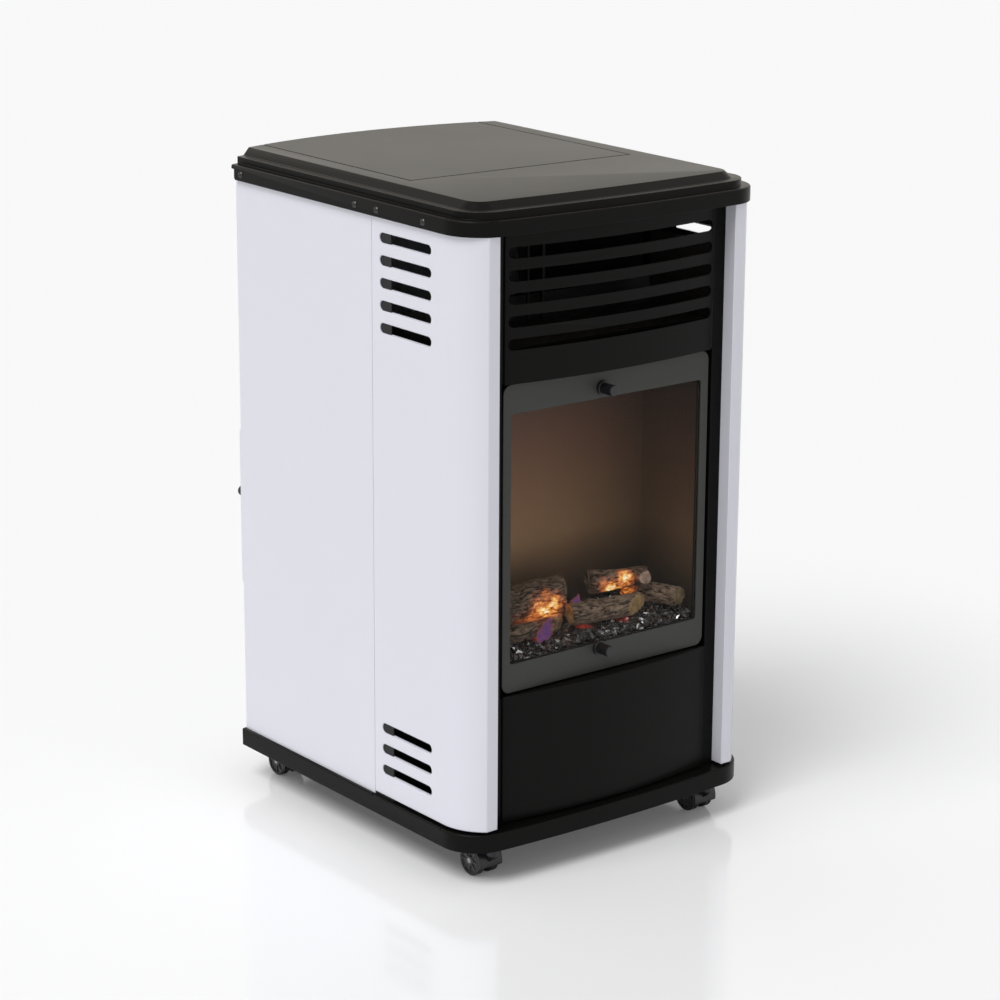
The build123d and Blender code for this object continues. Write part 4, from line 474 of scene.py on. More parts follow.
screw_low, screw_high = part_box("rim_screws")
SCREW_RADIUS = (screw_high.z - screw_low.z) / 2
SCREW_HEIGHT = 0.0022
heads = bmesh.new()
places = {round(vertex.co.y - screw_low.y, 3) for vertex in nodes["rim_screws"].data.vertices}
starts = sorted(place for place in places if round(place - 0.001, 3) not in places)
for side_sign, face_x in ((-1, screw_low.x), (1, screw_high.x)):
    for start in starts:
        middle = Vector((face_x - side_sign * SCREW_HEIGHT, screw_low.y + start + SCREW_RADIUS,
                         (screw_low.z + screw_high.z) / 2))
        screw_head(heads, middle, SCREW_RADIUS, SCREW_HEIGHT, side_sign)
bmesh.ops.recalc_face_normals(heads, faces=heads.faces)
screw_domes = settle("screw_domes", heads, screw_black)
screw_domes.data.shade_smooth()
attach(screw_domes, body_of["rim_screws"])
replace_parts(screw_domes, "rim_screws")
print("screw heads:", 2 * len(starts), "at", [round(screw_low.y + start + SCREW_RADIUS, 4) for start in starts])

# %% [markdown]
# ## Ceramic logs
# The logs are cast ceramic fibre, moulded with bark and painted. In the working model each is a plain taper. The
# mesh below is a tube on the same axis, close enough in its grid to carry real furrows: noise stretched along the
# log gives long plates of bark with furrows where the noise crosses zero. Sculpting by hand would look as good, but
# a formula is repeatable. Each point keeps its furrow depth and its heat, for the paint and the glow.

# %% Where the logs lie
LOGS = ("log_left", "log_low", "log_front", "log_right", "log_top")


def log_line(node):
    """The two end centres and end radii of a log, read from its working model, lower X first."""
    points = [vertex.co.copy() for vertex in nodes[node].data.vertices]
    points.sort(key=lambda point: point.x)
    first = max(points, key=lambda point: (point - points[-1]).length)
    axis = (points[-1] - first).normalized()
    for _ in range(6):
        near, far = end_groups(points, axis)
        axis = (centre(far) - centre(near)).normalized()
    near, far = end_groups(points, axis)
    start, end = centre(near), centre(far)
    start += axis * (min((point - start).dot(axis) for point in points))
    end += axis * (max((point - end).dot(axis) for point in points))
    return start, end, spread_from(near, start, axis), spread_from(far, end, axis)


def end_groups(points, axis):
    """The points of the two ends of a log, split at its middle along the axis."""
    reach = [point.dot(axis) for point in points]
    middle = (min(reach) + max(reach)) / 2
    near = [point for point, along in zip(points, reach) if along < middle]
    far = [point for point, along in zip(points, reach) if along >= middle]
    return near, far


def centre(points):
    """The middle of the box round some points."""
    low = Vector([min(point[part] for point in points) for part in range(3)])
    high = Vector([max(point[part] for point in points) for part in range(3)])
    return (low + high) / 2


def spread_from(points, origin, axis):
    """The greatest distance of some points from a line."""
    return max((point - origin - axis * (point - origin).dot(axis)).length for point in points)


for log in LOGS:
    start, end, near_radius, far_radius = log_line(log)
    print(log, "length", round((end - start).length, 4), "radii", round(near_radius, 4), round(far_radius, 4))

# %% [markdown]
# ## Where the fire touches them
# A gas fire plays on the logs at a few places, and the bark there glows. Each glow is a place, a reach and a
# strength. Heat at a point is the strongest of the glows near it, so that two never add up to a flat white.

# %% Glow places
GLOWS = (
    (Vector((-0.042, -0.170, 0.284)), 0.013, 1.25),
    (Vector((-0.030, -0.168, 0.289)), 0.015, 0.95),
    (Vector((-0.052, -0.168, 0.290)), 0.016, 0.72),
    (Vector((-0.062, -0.172, 0.280)), 0.016, 0.60),
    (Vector((-0.040, -0.166, 0.301)), 0.014, 0.50),
    (Vector((-0.078, -0.170, 0.275)), 0.018, 0.35),
    (Vector((-0.034, -0.184, 0.284)), 0.010, 0.45),
    (Vector((0.058, -0.165, 0.291)), 0.012, 1.15),
    (Vector((0.078, -0.168, 0.301)), 0.011, 1.20),
    (Vector((0.068, -0.166, 0.285)), 0.013, 0.80),
    (Vector((0.092, -0.150, 0.279)), 0.014, 0.65),
    (Vector((0.046, -0.165, 0.300)), 0.012, 0.45),
)


def heat_at(point):
    """How strongly the fire heats a point, 0 for not at all and 1 for white hot."""
    return max(strength * math.exp(-((point - place).length / reach) ** 2) for place, reach, strength in GLOWS)


print(len(GLOWS), "glow places")

# %% [markdown]
# ## The bark mesh
# The tube has a ring of points every millimetre along it, and as many points round it. Its outline is pushed in at
# the furrows and roughened by a finer noise. The axis wanders a little, so that no log is straight. Each end is closed
# by rings that shrink to the middle, and is broken unevenly, as cast ceramic is. The top log also has a short branch
# stub, sawn off towards the front, made by the same formula on a line of its own.

# %% Bark mesh
RING_STEP = 0.0010
FURROW_LENGTH = 0.030
FURROW_SPACING = 0.0040
ROUGH_SIZE = 0.0022
END_RINGS = 7
log_meshes = {}
STUB_FOOT = Vector((0.1025, -0.157, 0.2985))
STUB_TIP = Vector((0.0985, -0.180, 0.3010))
STUB_FOOT_RADIUS = 0.0100
STUB_TIP_RADIUS = 0.0094


def smooth_step(low, high, value):
    """0 below low, 1 above high, with a smooth rise between."""
    share = min(max((value - low) / (high - low), 0), 1)
    return share * share * (3 - 2 * share)


def bark_log(name, lies, *, seed, furrow_depth, swells=(), slant=0.0, trim=0.0, bare_start=True):
    """A bark-covered log between two points with two radii. A swell is (place along, width, height, angle).
    The far end is broken at a slant, as the front of it lies back by slant, and is shortened by trim."""
    start, end, near_radius, far_radius = lies
    end = end - (end - start).normalized() * trim
    line = end - start
    length = line.length
    axis = line.normalized()
    side = axis.cross(Vector((0, 0, 1))).normalized()
    top = side.cross(axis).normalized()
    around = int(2 * math.pi * max(near_radius, far_radius) / RING_STEP)
    rings = int(length / RING_STEP) + 1
    offset = Vector((seed * 7.3, seed * 3.1, seed * 5.7))
    places, furrows, cuts, heats = [], [], [], []
    bark = bmesh.new()
    loops = []

    def add_ring(along, shrink, cut):
        """One ring of points at a place along the log, drawn in to a share of its size."""
        radius = near_radius + (far_radius - near_radius) * along
        wander = Vector((noise.noise(offset + Vector((along * 2.3, 0, 0))),
                         noise.noise(offset + Vector((along * 2.3, 9, 0))), 0)) * 0.10 * radius
        ring = []
        for turn in range(around):
            angle = 2 * math.pi * turn / around
            swell = sum(height * math.exp(-((along - place) / width) ** 2) * (0.55 + 0.45 * math.cos(angle - toward))
                        for place, width, height, toward in swells)
            warp = 0.16 * noise.noise(offset + Vector((along * 9, math.cos(angle), math.sin(angle))))
            grain = Vector((math.cos(angle + warp) * radius / FURROW_SPACING,
                            math.sin(angle + warp) * radius / FURROW_SPACING,
                            along * length / FURROW_LENGTH)) + offset
            plate = smooth_step(0.0, 0.24, abs(noise.fractal(grain, 1.0, 2.0, 2)))
            plate *= 0.55 + 0.45 * smooth_step(0.0, 0.2, abs(noise.noise(grain * 2.1 + offset)))
            rough = noise.fractal(grain * (FURROW_SPACING / ROUGH_SIZE) * 0.6, 1.0, 2.0, 3) * 0.0004
            lump = 0.05 * radius * noise.noise(offset + Vector((along * 5, math.cos(angle) * 1.4,
                                                                math.sin(angle) * 1.4)))
            edge = min(along, 1 - along) * length / 0.003
            out = radius * (1 + swell) + lump + rough - furrow_depth * (1 - plate)
            out -= 0.0009 * (1 - smooth_step(0, 1, edge))
            across = out * shrink
            if cut:
                chip = 0.0011 * noise.noise(Vector((math.cos(angle) * across, math.sin(angle) * across, 0)) * 260
                                            + offset)
                chip -= 0.0012 * (1 - shrink)
            else:
                chip = 0.0012 * noise.noise(offset + Vector((math.cos(angle) * 2.5, math.sin(angle) * 2.5, 4)))
                chip *= 1 - smooth_step(0, 2, edge)
            outward = 1 if along > 0.5 else -1
            lag = -slant * math.cos(angle) * across * along
            point = (start + line * along + (side * (wander.x + math.cos(angle) * across))
                     + (top * (wander.y + math.sin(angle) * across)) + axis * (chip * outward + lag))
            ring.append(bark.verts.new(point))
            furrows.append(plate)
            cuts.append(1.0 if cut else 0.0)
            heats.append(heat_at(point))
        loops.append(ring)

    for step in range(END_RINGS, 0, -1):
        add_ring(0.0, 1 - step / (END_RINGS + 1), bare_start)
    for step in range(rings + 1):
        add_ring(step / rings, 1.0, False)
    for step in range(1, END_RINGS + 1):
        add_ring(1.0, 1 - step / (END_RINGS + 1), True)
    for ring, following in zip(loops, loops[1:]):
        for turn in range(around):
            ahead_turn = (turn + 1) % around
            bark.faces.new((ring[turn], ring[ahead_turn], following[ahead_turn], following[turn]))
    bark.faces.new(list(reversed(loops[0])))
    bark.faces.new(loops[-1])
    bmesh.ops.recalc_face_normals(bark, faces=bark.faces)
    made = settle(name + "_bark", bark)
    for key, values in (("furrow", furrows), ("cut", cuts), ("fire_heat", heats)):
        made.data.attributes.new(key, "FLOAT", "POINT").data.foreach_set("value", values)
    made.data.shade_smooth()
    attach(made, "cabinet")
    log_meshes[name] = made
    print(name, "bark:", len(made.data.polygons), "faces, hottest point", round(max(heats), 2))
    return made


BARKS = {
    "log_left": {"seed": 3, "furrow_depth": 0.0026, "slant": 0.55, "trim": -0.004,
                 "swells": ((0.10, 0.10, 0.05, 1.2), (0.72, 0.08, 0.05, 2.0))},
    "log_low": {"seed": 11, "furrow_depth": 0.0017, "slant": 1.5, "trim": 0.003},
    "log_front": {"seed": 5, "furrow_depth": 0.0021, "slant": 1.6, "trim": 0.010,
                  "swells": ((0.30, 0.12, 0.10, 1.6), (0.85, 0.06, 0.06, 4.2))},
    "log_right": {"seed": 8, "furrow_depth": 0.0018, "slant": 0.35, "swells": ((0.35, 0.12, 0.08, 1.5),)},
    "log_top": {"seed": 14, "furrow_depth": 0.0017, "slant": 1.5, "trim": 0.011, "bare_start": False,
                "swells": ((0.02, 0.30, 0.42, 1.2), (0.45, 0.10, 0.10, 1.6))},
}
for log, looks in BARKS.items():
    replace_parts(bark_log(log, log_line(log), **looks), log)
bark_log("log_top_stub", (STUB_FOOT, STUB_TIP, STUB_FOOT_RADIUS, STUB_TIP_RADIUS), seed=21, furrow_depth=0.0012,
         bare_start=False)

# %% [markdown]
# ## Bark paint and glow
# The logs are painted grey-brown, and their broken ends are left tan. Their furrows are coloured near black. Where
# the fire heats them they glow through red, orange and yellow to nearly white. The glow is an emission that follows
# the stored heat, stronger on the plates than in the furrows, so it breaks up into streaks.

# %% Bark paint
CUT_COLOURS = {
    "log_left": (0.50, 0.24, 0.13),
    "log_low": (0.42, 0.30, 0.17),
    "log_front": (0.66, 0.43, 0.19),
    "log_right": (0.50, 0.36, 0.19),
    "log_top": (0.60, 0.36, 0.26),
    "log_top_stub": (0.80, 0.55, 0.42),
}


def stored(tree, key):
    """A value kept on the mesh."""
    return added(tree, "Attribute", attribute_name=key).outputs["Fac"]


def bark_paint(name, cut_colour):
    """Painted bark with tan ends, glowing where the mesh is hot."""
    made, tree, shader = new_paint(name)
    place = place_in(tree)
    mottle = added(tree, "TexNoise", {"Vector": place, "Scale": 120, "Detail": 5}).outputs["Fac"]
    contrast = ranged(tree, mottle, 0, 1, 0.32, 0.68)
    plates = mixed(tree, contrast, (0.15, 0.100, 0.066, 1), (0.50, 0.35, 0.24, 1))
    furrow = stored(tree, "furrow")
    bark = mixed(tree, furrow, (0.014, 0.010, 0.008, 1), plates)
    dull = (*[channel * 0.42 for channel in cut_colour], 1)
    broken = mixed(tree, contrast, dull, (*cut_colour, 1))
    surface = mixed(tree, stored(tree, "cut"), bark, broken)
    flicker = added(tree, "TexNoise", {"Vector": place, "Scale": 210, "Detail": 3}).outputs["Fac"]
    broken_heat = worked(tree, "MULTIPLY", stored(tree, "fire_heat"), ranged(tree, flicker, 0.55, 1.15, 0.35, 0.65))
    surface_heat = worked(tree, "MULTIPLY", broken_heat, ranged(tree, furrow, 0.55, 1))
    glow = ramp(tree, surface_heat, (0.10, (0, 0, 0)), (0.28, (0.16, 0.030, 0.006)), (0.48, (0.62, 0.16, 0.020)),
                (0.70, (0.95, 0.50, 0.10)), (1, (1.0, 0.93, 0.62)))
    for key, value in (("Roughness", 0.85), ("Specular IOR Level", 0.3), ("Base Color", surface),
                       ("Emission Color", glow), ("Emission Strength", 1)):
        feed(tree, value, shader.inputs[key])
    return made


for log, cut_colour in CUT_COLOURS.items():
    log_meshes[log].data.materials.append(bark_paint(f"bark_{log}", cut_colour))

# %% [markdown]
# ## Glowing coals
# The bed under the logs is crushed black glassy stone. Every stone is the convex hull of a few random points, which
# gives flat facets and sharp edges as broken stone has. They lie on the bed of the working model, closer together
# than their size, so that no gap shows, and three rows close its front. A fixed seed keeps them the same in every
# render.

# %% Coals
COAL_SEED = 41
COAL_STEP = 0.0078
COAL_SIZES = (0.0040, 0.0064)
COAL_POINTS = 13
COAL_SINK = 0.0012
FRONT_HEIGHTS = (0.2445, 0.2500, 0.2550)
random.seed(COAL_SEED)
bed = nodes["ember_bed"]
bed_low, bed_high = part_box("ember_bed")


def bed_top(across, back):
    """Height of the coal bed at a place, found by looking straight down on it."""
    hit, place, _, _ = bed.ray_cast(Vector((across, back, bed_high.z + 0.05)), Vector((0, 0, -1)))
    return place.z if hit else bed_low.z


def add_stone(stones, middle, size, flat=0.8):
    """Adds one broken stone to a mesh."""
    points = []
    for _ in range(COAL_POINTS):
        toward = Vector((random.gauss(0, 1), random.gauss(0, 1), random.gauss(0, flat))).normalized()
        reach = size * random.uniform(0.78, 1.05)
        points.append(stones.verts.new(middle + Vector((toward.x, toward.y, toward.z * flat)) * reach))
    hull = bmesh.ops.convex_hull(stones, input=points)
    unused = {item for item in hull["geom_interior"] + hull["geom_unused"] if isinstance(item, bmesh.types.BMVert)}
    bmesh.ops.delete(stones, geom=list(unused), context="VERTS")


coals = bmesh.new()
rows = int((bed_high.y - bed_low.y) / COAL_STEP)
columns = int((bed_high.x - bed_low.x) / COAL_STEP)
coal_count = 0
for row in range(rows):
    for column in range(columns):
        across = bed_low.x + (column + 0.5 + random.uniform(-0.35, 0.35)) * COAL_STEP
        back = bed_low.y + (row + 0.5 + random.uniform(-0.35, 0.35)) * COAL_STEP
        size = random.uniform(*COAL_SIZES)
        across = min(max(across, bed_low.x + size), bed_high.x - size)
        back = min(max(back, bed_low.y + size), bed_high.y - size)
        add_stone(coals, Vector((across, back, bed_top(across, back) - COAL_SINK + random.uniform(0, 0.002))), size)
        coal_count += 1
for height in FRONT_HEIGHTS:
    for column in range(columns):
        size = random.uniform(*COAL_SIZES)
        across = bed_low.x + (column + 0.5 + random.uniform(-0.3, 0.3)) * COAL_STEP
        across = min(max(across, bed_low.x + size), bed_high.x - size)
        add_stone(coals, Vector((across, bed_low.y + random.uniform(0, 0.0015), height + random.uniform(0, 0.0015))),
                  size)
        coal_count += 1
bmesh.ops.recalc_face_normals(coals, faces=coals.faces)
coal_pile = settle("coals", coals)
coal_mesh = coal_pile.data
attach(coal_pile, body_of["ember_bed"])
print(coal_count, "stones,", len(coal_mesh.polygons), "faces")

# %% [markdown]
# ## Coal finish
# Broken glassy stone is black with a sharp gloss on some facets and a dull one on others, with rusty and grey
# patches. A few places near the flames glow dull red. The bed between the stones is soot.

# %% Coal finish
EMBERS = (
    (Vector((0.002, -0.184, 0.260)), 0.011),
    (Vector((0.058, -0.192, 0.260)), 0.010),
    (Vector((-0.066, -0.186, 0.260)), 0.010),
)
coal_gloss = finish("glassy_coal", (0.022, 0.021, 0.021), 0.26, drift=0.22, drift_scale=130, tone=0.85,
                    specular=0.9, grain=0.5, grain_scale=1400)
GLINT_SHARE = 0.15
GLINT_COLOUR = (0.62, 0.63, 0.68, 1)
glints = [1.0 if random.random() < GLINT_SHARE else 0.0 for _ in coal_mesh.polygons]
coal_mesh.attributes.new("glint", "FLOAT", "FACE").data.foreach_set("value", glints)
coal_heat = [max(math.exp(-((vertex.co - place).length / reach) ** 2) for place, reach in EMBERS)
             for vertex in coal_mesh.vertices]
coal_mesh.attributes.new("fire_heat", "FLOAT", "POINT").data.foreach_set("value", coal_heat)
coal_tree = coal_gloss.node_tree
patches = added(coal_tree, "TexNoise", {"Vector": place_in(coal_tree), "Scale": 75, "Detail": 2}).outputs["Fac"]
rusty = mixed(coal_tree, ranged(coal_tree, patches, 0, 1, 0.56, 0.66), coal_tree.nodes["tint"].outputs["Result"],
              (0.13, 0.085, 0.070, 1))
coal_glint = stored(coal_tree, "glint")
coal_glow = ramp(coal_tree, stored(coal_tree, "fire_heat"), (0.25, (0, 0, 0)), (1, (0.55, 0.035, 0.018)))
for key, value in (("Metallic", coal_glint), ("Base Color", mixed(coal_tree, coal_glint, rusty, GLINT_COLOUR)),
                   ("Emission Color", coal_glow), ("Emission Strength", 0.4)):
    feed(coal_tree, value, coal_tree.nodes["Principled BSDF"].inputs[key])
coal_mesh.materials.append(coal_gloss)
dress(sooty, "ember_bed")

# %% [markdown]
# ## Flames
# Low gas flames stand between the logs: violet inside, with a red and orange edge. A real flame is a thin bright
# shell. Each one here is a thin leaf that bends as it rises. The leaf keeps how near a point is to its edge, and
# the colour and the clearness follow that.

# %% Flames
FLAME_STEPS = 26
FLAME_ACROSS = 12
FLAME_THICKNESS = 0.0006
flame_light = bpy.data.materials.new("gas_flame")
flame_light.use_nodes = True
flame_tree = flame_light.node_tree
flame_tree.nodes.clear()
flame_edge = stored(flame_tree, "edge")
flame_colour = ramp(flame_tree, flame_edge, (0, (0.100, 0.040, 0.175)), (0.55, (0.13, 0.050, 0.13)),
                    (0.84, (0.24, 0.060, 0.060)), (1, (0.55, 0.16, 0.03)))
flame_cover = ramp(flame_tree, flame_edge, (0, (0.72,) * 3), (0.66, (0.60,) * 3), (1, (0,) * 3))
flame_glow = added(flame_tree, "Emission", {"Color": flame_colour}).outputs[0]
flame_clear = added(flame_tree, "BsdfTransparent").outputs[0]
flame_mix = added(flame_tree, "MixShader", {0: flame_cover, 1: flame_clear, 2: flame_glow}).outputs[0]
added(flame_tree, "OutputMaterial", {"Surface": flame_mix})


def flame(name, foot, height, width, lean, bend, seed):
    """One leaf of flame, standing on its foot, leaning across by lean and curling by bend."""
    leaf = bmesh.new()
    edges = []
    rows_of_points = {1: [], -1: []}
    for face_side in (1, -1):
        for step in range(FLAME_STEPS + 1):
            rise = step / FLAME_STEPS
            half = width / 2 * (math.sin(math.pi * min(rise * 0.92 + 0.08, 1)) ** 0.7) * (1 - 0.35 * rise)
            half = max(half, 0.0002)
            shift = lean * rise + bend * math.sin(math.pi * rise) + 0.0012 * noise.noise(Vector((rise * 5, seed, 0)))
            row = []
            for part in range(FLAME_ACROSS + 1):
                across = 2 * part / FLAME_ACROSS - 1
                ripple = 1 + 0.45 * noise.noise(Vector((rise * 8, seed + 3, across)))
                thick = FLAME_THICKNESS * (1 - across * across) * face_side
                row.append(leaf.verts.new((foot.x + shift + half * across * ripple,
                                           foot.y + thick - 0.0015 * (1 - across * across),
                                           foot.z + height * rise)))
                edges.append(max(abs(across), abs(2 * rise - 0.9) ** 3))
            rows_of_points[face_side].append(row)
    for face_side, rows_made in rows_of_points.items():
        for row, following in zip(rows_made, rows_made[1:]):
            for part in range(FLAME_ACROSS):
                corners = (row[part], row[part + 1], following[part + 1], following[part])
                leaf.faces.new(corners if face_side < 0 else tuple(reversed(corners)))
    made = settle(name, leaf, flame_light)
    made.data.attributes.new("edge", "FLOAT", "POINT").data.foreach_set("value", edges)
    made.data.shade_smooth()
    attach(made, "cabinet")
    print(name, "rises", height)


flame("flame_left", Vector((-0.066, -0.1985, 0.262)), 0.027, 0.027, 0.005, -0.003, 2)
flame("flame_left_low", Vector((-0.076, -0.1995, 0.261)), 0.015, 0.015, -0.002, 0.001, 5)
flame("flame_middle", Vector((0.012, -0.150, 0.266)), 0.021, 0.026, 0.004, 0.002, 7)
flame("flame_middle_small", Vector((0.021, -0.148, 0.270)), 0.019, 0.009, 0.002, -0.001, 9)

# %% [markdown]
# ## Caster wheels
# Each caster has two wheels under one hood. A wheel is moulded in one piece, with a rounded tread, a recessed side
# and a hub with ribs. The profile of half a wheel is turned round the axle, as on a lathe. The working model gives
# the place and the size of each pair.

# %% Caster wheels
WHEEL_TURNS = 64
WHEEL_RIBS = 8
AXLE_HOLE = 0.00305
WHEEL_GAP = 0.0045
TREAD_ROUND = 0.0015
RIB_HALF = 0.0006
tyre_rubber = finish("wheel_plastic", (0.012, 0.012, 0.013), 0.42, drift=0.08, drift_scale=40, grain=0.3,
                     grain_scale=1300)
hub_plastic = finish("hub_plastic", (0.055, 0.055, 0.057), 0.5, drift=0.06, drift_scale=60, grain=0.3)


def turned_wheel(made, inner_x, outer_x, axle, radius):
    """One wheel between two X places, turned round the axle. The outer side is the open one."""
    width = outer_x - inner_x
    profile = ((inner_x, AXLE_HOLE), (inner_x, radius - TREAD_ROUND), (inner_x + 0.14 * width, radius),
               (inner_x + 0.42 * width, radius), (inner_x + 0.46 * width, radius - 0.0006),
               (inner_x + 0.54 * width, radius - 0.0006), (inner_x + 0.58 * width, radius),
               (outer_x - 0.14 * width, radius), (outer_x, radius - TREAD_ROUND), (outer_x, radius - 0.0034),
               (outer_x - 0.20 * width, radius - 0.0042), (outer_x - 0.20 * width, 0.0066),
               (outer_x - 0.06 * width, 0.0060), (outer_x, 0.0052), (outer_x, AXLE_HOLE))
    loops = []
    for turn in range(WHEEL_TURNS):
        angle = 2 * math.pi * turn / WHEEL_TURNS
        loops.append([made.verts.new((x, axle.y + reach * math.cos(angle), axle.z + reach * math.sin(angle)))
                      for x, reach in profile])
    for turn in range(WHEEL_TURNS):
        here, following = loops[turn], loops[(turn + 1) % WHEEL_TURNS]
        for part in range(len(profile)):
            after = (part + 1) % len(profile)
            face = made.faces.new((here[part], here[after], following[after], following[part]))
            face.material_index = 1 if part in (9, 10, 11, 12, 13) else 0
            face.smooth = part in (1, 2, 4, 6, 8)
    rib_back, rib_front = outer_x - 0.22 * width, outer_x - 0.07 * width
    for rib in range(WHEEL_RIBS):
        angle = 2 * math.pi * rib / WHEEL_RIBS
        spoke = Vector((0, math.cos(angle), math.sin(angle)))
        across = Vector((0, -math.sin(angle), math.cos(angle))) * RIB_HALF
        corners = [made.verts.new(Vector((x, axle.y, axle.z)) + spoke * reach + across * hand)
                   for x in (rib_back, rib_front) for reach in (0.0058, radius - 0.0036) for hand in (-1, 1)]
        for order in ((4, 5, 7, 6), (0, 4, 6, 2), (1, 3, 7, 5), (2, 6, 7, 3), (0, 1, 5, 4), (0, 2, 3, 1)):
            made.faces.new([corners[place] for place in order]).material_index = 1


for where in CASTERS:
    node = f"caster_wheels_{where}"
    low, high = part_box(node)
    middle = (low + high) / 2
    pair = bmesh.new()
    turned_wheel(pair, middle.x + WHEEL_GAP, high.x, middle, (high.z - low.z) / 2)
    turned_wheel(pair, middle.x - WHEEL_GAP, low.x, middle, (high.z - low.z) / 2)
    bmesh.ops.recalc_face_normals(pair, faces=pair.faces)
    wheels = settle(f"wheels_{where}", pair, tyre_rubber, hub_plastic)
    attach(wheels, body_of[node])
    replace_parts(wheels, node)
print("wheels:", len(CASTERS), "pairs")

# %% [markdown]
# ## Pressed slot lips
# The side vents are pressed, not just cut: the sheet turns inwards round each slot with a small radius, which
# catches light along the lower edge. The lip is a strip that follows the slot's outline and rolls inwards. It lies
# inside the opening of the working model, so the sheet itself stays as it is.

# %% Slot lips
WALL_FACE_X = 0.2100
SLOT_MIDDLE_Y = -0.12375
SLOT_LENGTH = 0.0965
SLOT_HEIGHT = 0.0117
SLOT_PITCH = 0.0256
UPPER_SLOT_Z = 0.7293
LOWER_SLOT_Z = 0.0999
SLOT_ROWS = [UPPER_SLOT_Z - SLOT_PITCH * row for row in range(5)] + [LOWER_SLOT_Z + SLOT_PITCH * row
                                                                    for row in range(3)]
LIP_ROLL = 0.0004
LIP_DEPTH = 0.0030
LIP_START = 0.0010
LIP_STEPS = 5
END_TURNS = 14


def slot_outline(inset):
    """Points round a slot with round ends, as (along, up) from its middle, drawn in by inset."""
    end_radius = SLOT_HEIGHT / 2 - inset
    straight = (SLOT_LENGTH - SLOT_HEIGHT) / 2
    outline = []
    for end in (1, -1):
        for turn in range(END_TURNS + 1):
            angle = -math.pi / 2 + math.pi * turn / END_TURNS
            outline.append((end * (straight + end_radius * math.cos(angle)), end * end_radius * math.sin(angle)))
    return outline


for hand, side_sign in zip(HANDS, (-1, 1)):
    lips = bmesh.new()
    for slot_z in SLOT_ROWS:
        rolled = [(LIP_ROLL * (1 - math.cos(math.pi / 2 * step / LIP_STEPS)),
                   LIP_ROLL * math.sin(math.pi / 2 * step / LIP_STEPS)) for step in range(LIP_STEPS + 1)]
        rolled.append((LIP_ROLL, LIP_DEPTH))
        rolled.append((0.0002, LIP_DEPTH))
        loops = []
        for inset, depth in rolled:
            loops.append([lips.verts.new((side_sign * (WALL_FACE_X - LIP_START - depth), SLOT_MIDDLE_Y + along,
                                          slot_z + rise)) for along, rise in slot_outline(inset)])
        for here, following in zip(loops, loops[1:]):
            for part in range(len(here)):
                after = (part + 1) % len(here)
                lips.faces.new((here[part], here[after], following[after], following[part])).smooth = True
    bmesh.ops.recalc_face_normals(lips, faces=lips.faces)
    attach(settle(f"slot_lips_{hand}", lips, white_coat), "cabinet")
print("slot lips:", 2 * len(SLOT_ROWS))

# %% [markdown]
# ## Paint bead in the side seams
# Panel and post meet in a narrow gap, which the paint nearly closes, so that only a faint line shows. A thin bead
# fills the gap, a little below the sheets' face. Its face is hollow, as paint is when it dries between two edges.

# %% Seam beads
SEAM_Y = -0.061
SEAM_FRONT = 0.0014
SEAM_REAR = 0.0004
BEAD_DEPTH = 0.00012
BEAD_HOLLOW = 0.00010
BEAD_STEPS = 6
post_low, post_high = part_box("corner_post_left")
for hand, side_sign in zip(HANDS, (-1, 1)):
    bead = bmesh.new()
    lines = []
    for step in range(BEAD_STEPS + 1):
        share = step / BEAD_STEPS
        face_x = side_sign * (WALL_FACE_X - BEAD_DEPTH - BEAD_HOLLOW * 4 * share * (1 - share))
        lines.append([bead.verts.new((face_x, SEAM_Y - SEAM_FRONT + share * (SEAM_FRONT + SEAM_REAR), height))
                      for height in (post_low.z, post_high.z)])
    for here, following in zip(lines, lines[1:]):
        corners = (here[0], following[0], following[1], here[1])
        bead.faces.new(corners if side_sign > 0 else tuple(reversed(corners))).smooth = True
    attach(settle(f"seam_bead_{hand}", bead, white_coat), "cabinet")
print("seam beads from", round(post_low.z, 4), "to", round(post_high.z, 4))

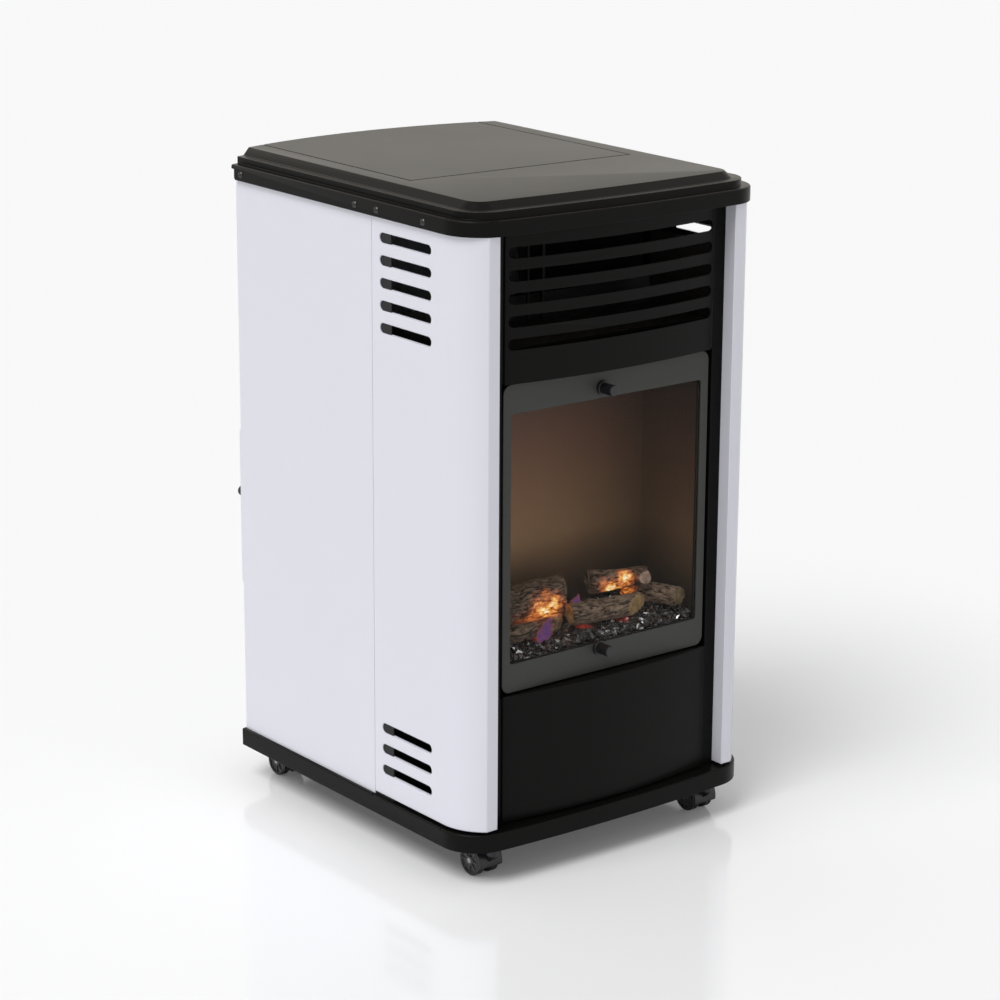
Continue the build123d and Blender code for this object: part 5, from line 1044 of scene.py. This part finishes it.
# %% [markdown]
# ## Soft edges
# A moulded or folded edge is never knife sharp, and its small radius shows as a thin bright line. Covers, panels and
# posts of the working model are copied, their flat faces joined up, and a bevel rounds every edge over 35 degrees.
# Where short edges meet, a bevel can throw a point outwards, so any point that has strayed from the working model's
# surface is put back on it. The copy stands for the working piece, which stays as it was underneath.

# %% Soft edges
SHARP_ANGLE = math.radians(35)
FLAT_ANGLE = math.radians(0.6)
BROAD_FACE = 0.0001
BEVEL_SAG = 0.35


def soften(node, width):
    """A copy of a CAD node with small rounded edges, shown in its place."""
    source = nodes[node]
    shell = bmesh.new()
    shell.from_mesh(source.data)
    bmesh.ops.remove_doubles(shell, verts=shell.verts, dist=0.000002)
    bmesh.ops.dissolve_limit(shell, angle_limit=FLAT_ANGLE, verts=shell.verts, edges=shell.edges)
    made = settle(f"{node}_soft", shell, source.data.materials[0])
    for face in made.data.polygons:
        face.use_smooth = face.area < BROAD_FACE
    made.data.set_sharp_from_angle(angle=SHARP_ANGLE)
    rounding = made.modifiers.new("rounded_edges", "BEVEL")
    rounding.width = width
    rounding.segments = 3
    rounding.limit_method = "ANGLE"
    rounding.angle_limit = SHARP_ANGLE
    rounding.use_clamp_overlap = False
    made.data = bpy.data.meshes.new_from_object(made.evaluated_get(bpy.context.evaluated_depsgraph_get()))
    made.modifiers.remove(rounding)
    skin = BVHTree.FromObject(source, bpy.context.evaluated_depsgraph_get())
    for point in made.data.vertices:
        nearest, _, _, distance = skin.find_nearest(point.co)
        if distance > width * BEVEL_SAG:
            point.co = nearest
    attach(made, body_of[node])
    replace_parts(made, node)
    print(node, "softened:", len(made.data.polygons), "faces")


for node, width in (("top_cover", 0.0006), ("top_lid", 0.0003), ("glass_frame", 0.0005), ("base_plate", 0.0005),
                    ("louvre_panel", 0.0004), ("lower_panel", 0.0004),
                    ("corner_post_left", 0.0009), ("corner_post_right", 0.0009)):
    soften(node, width)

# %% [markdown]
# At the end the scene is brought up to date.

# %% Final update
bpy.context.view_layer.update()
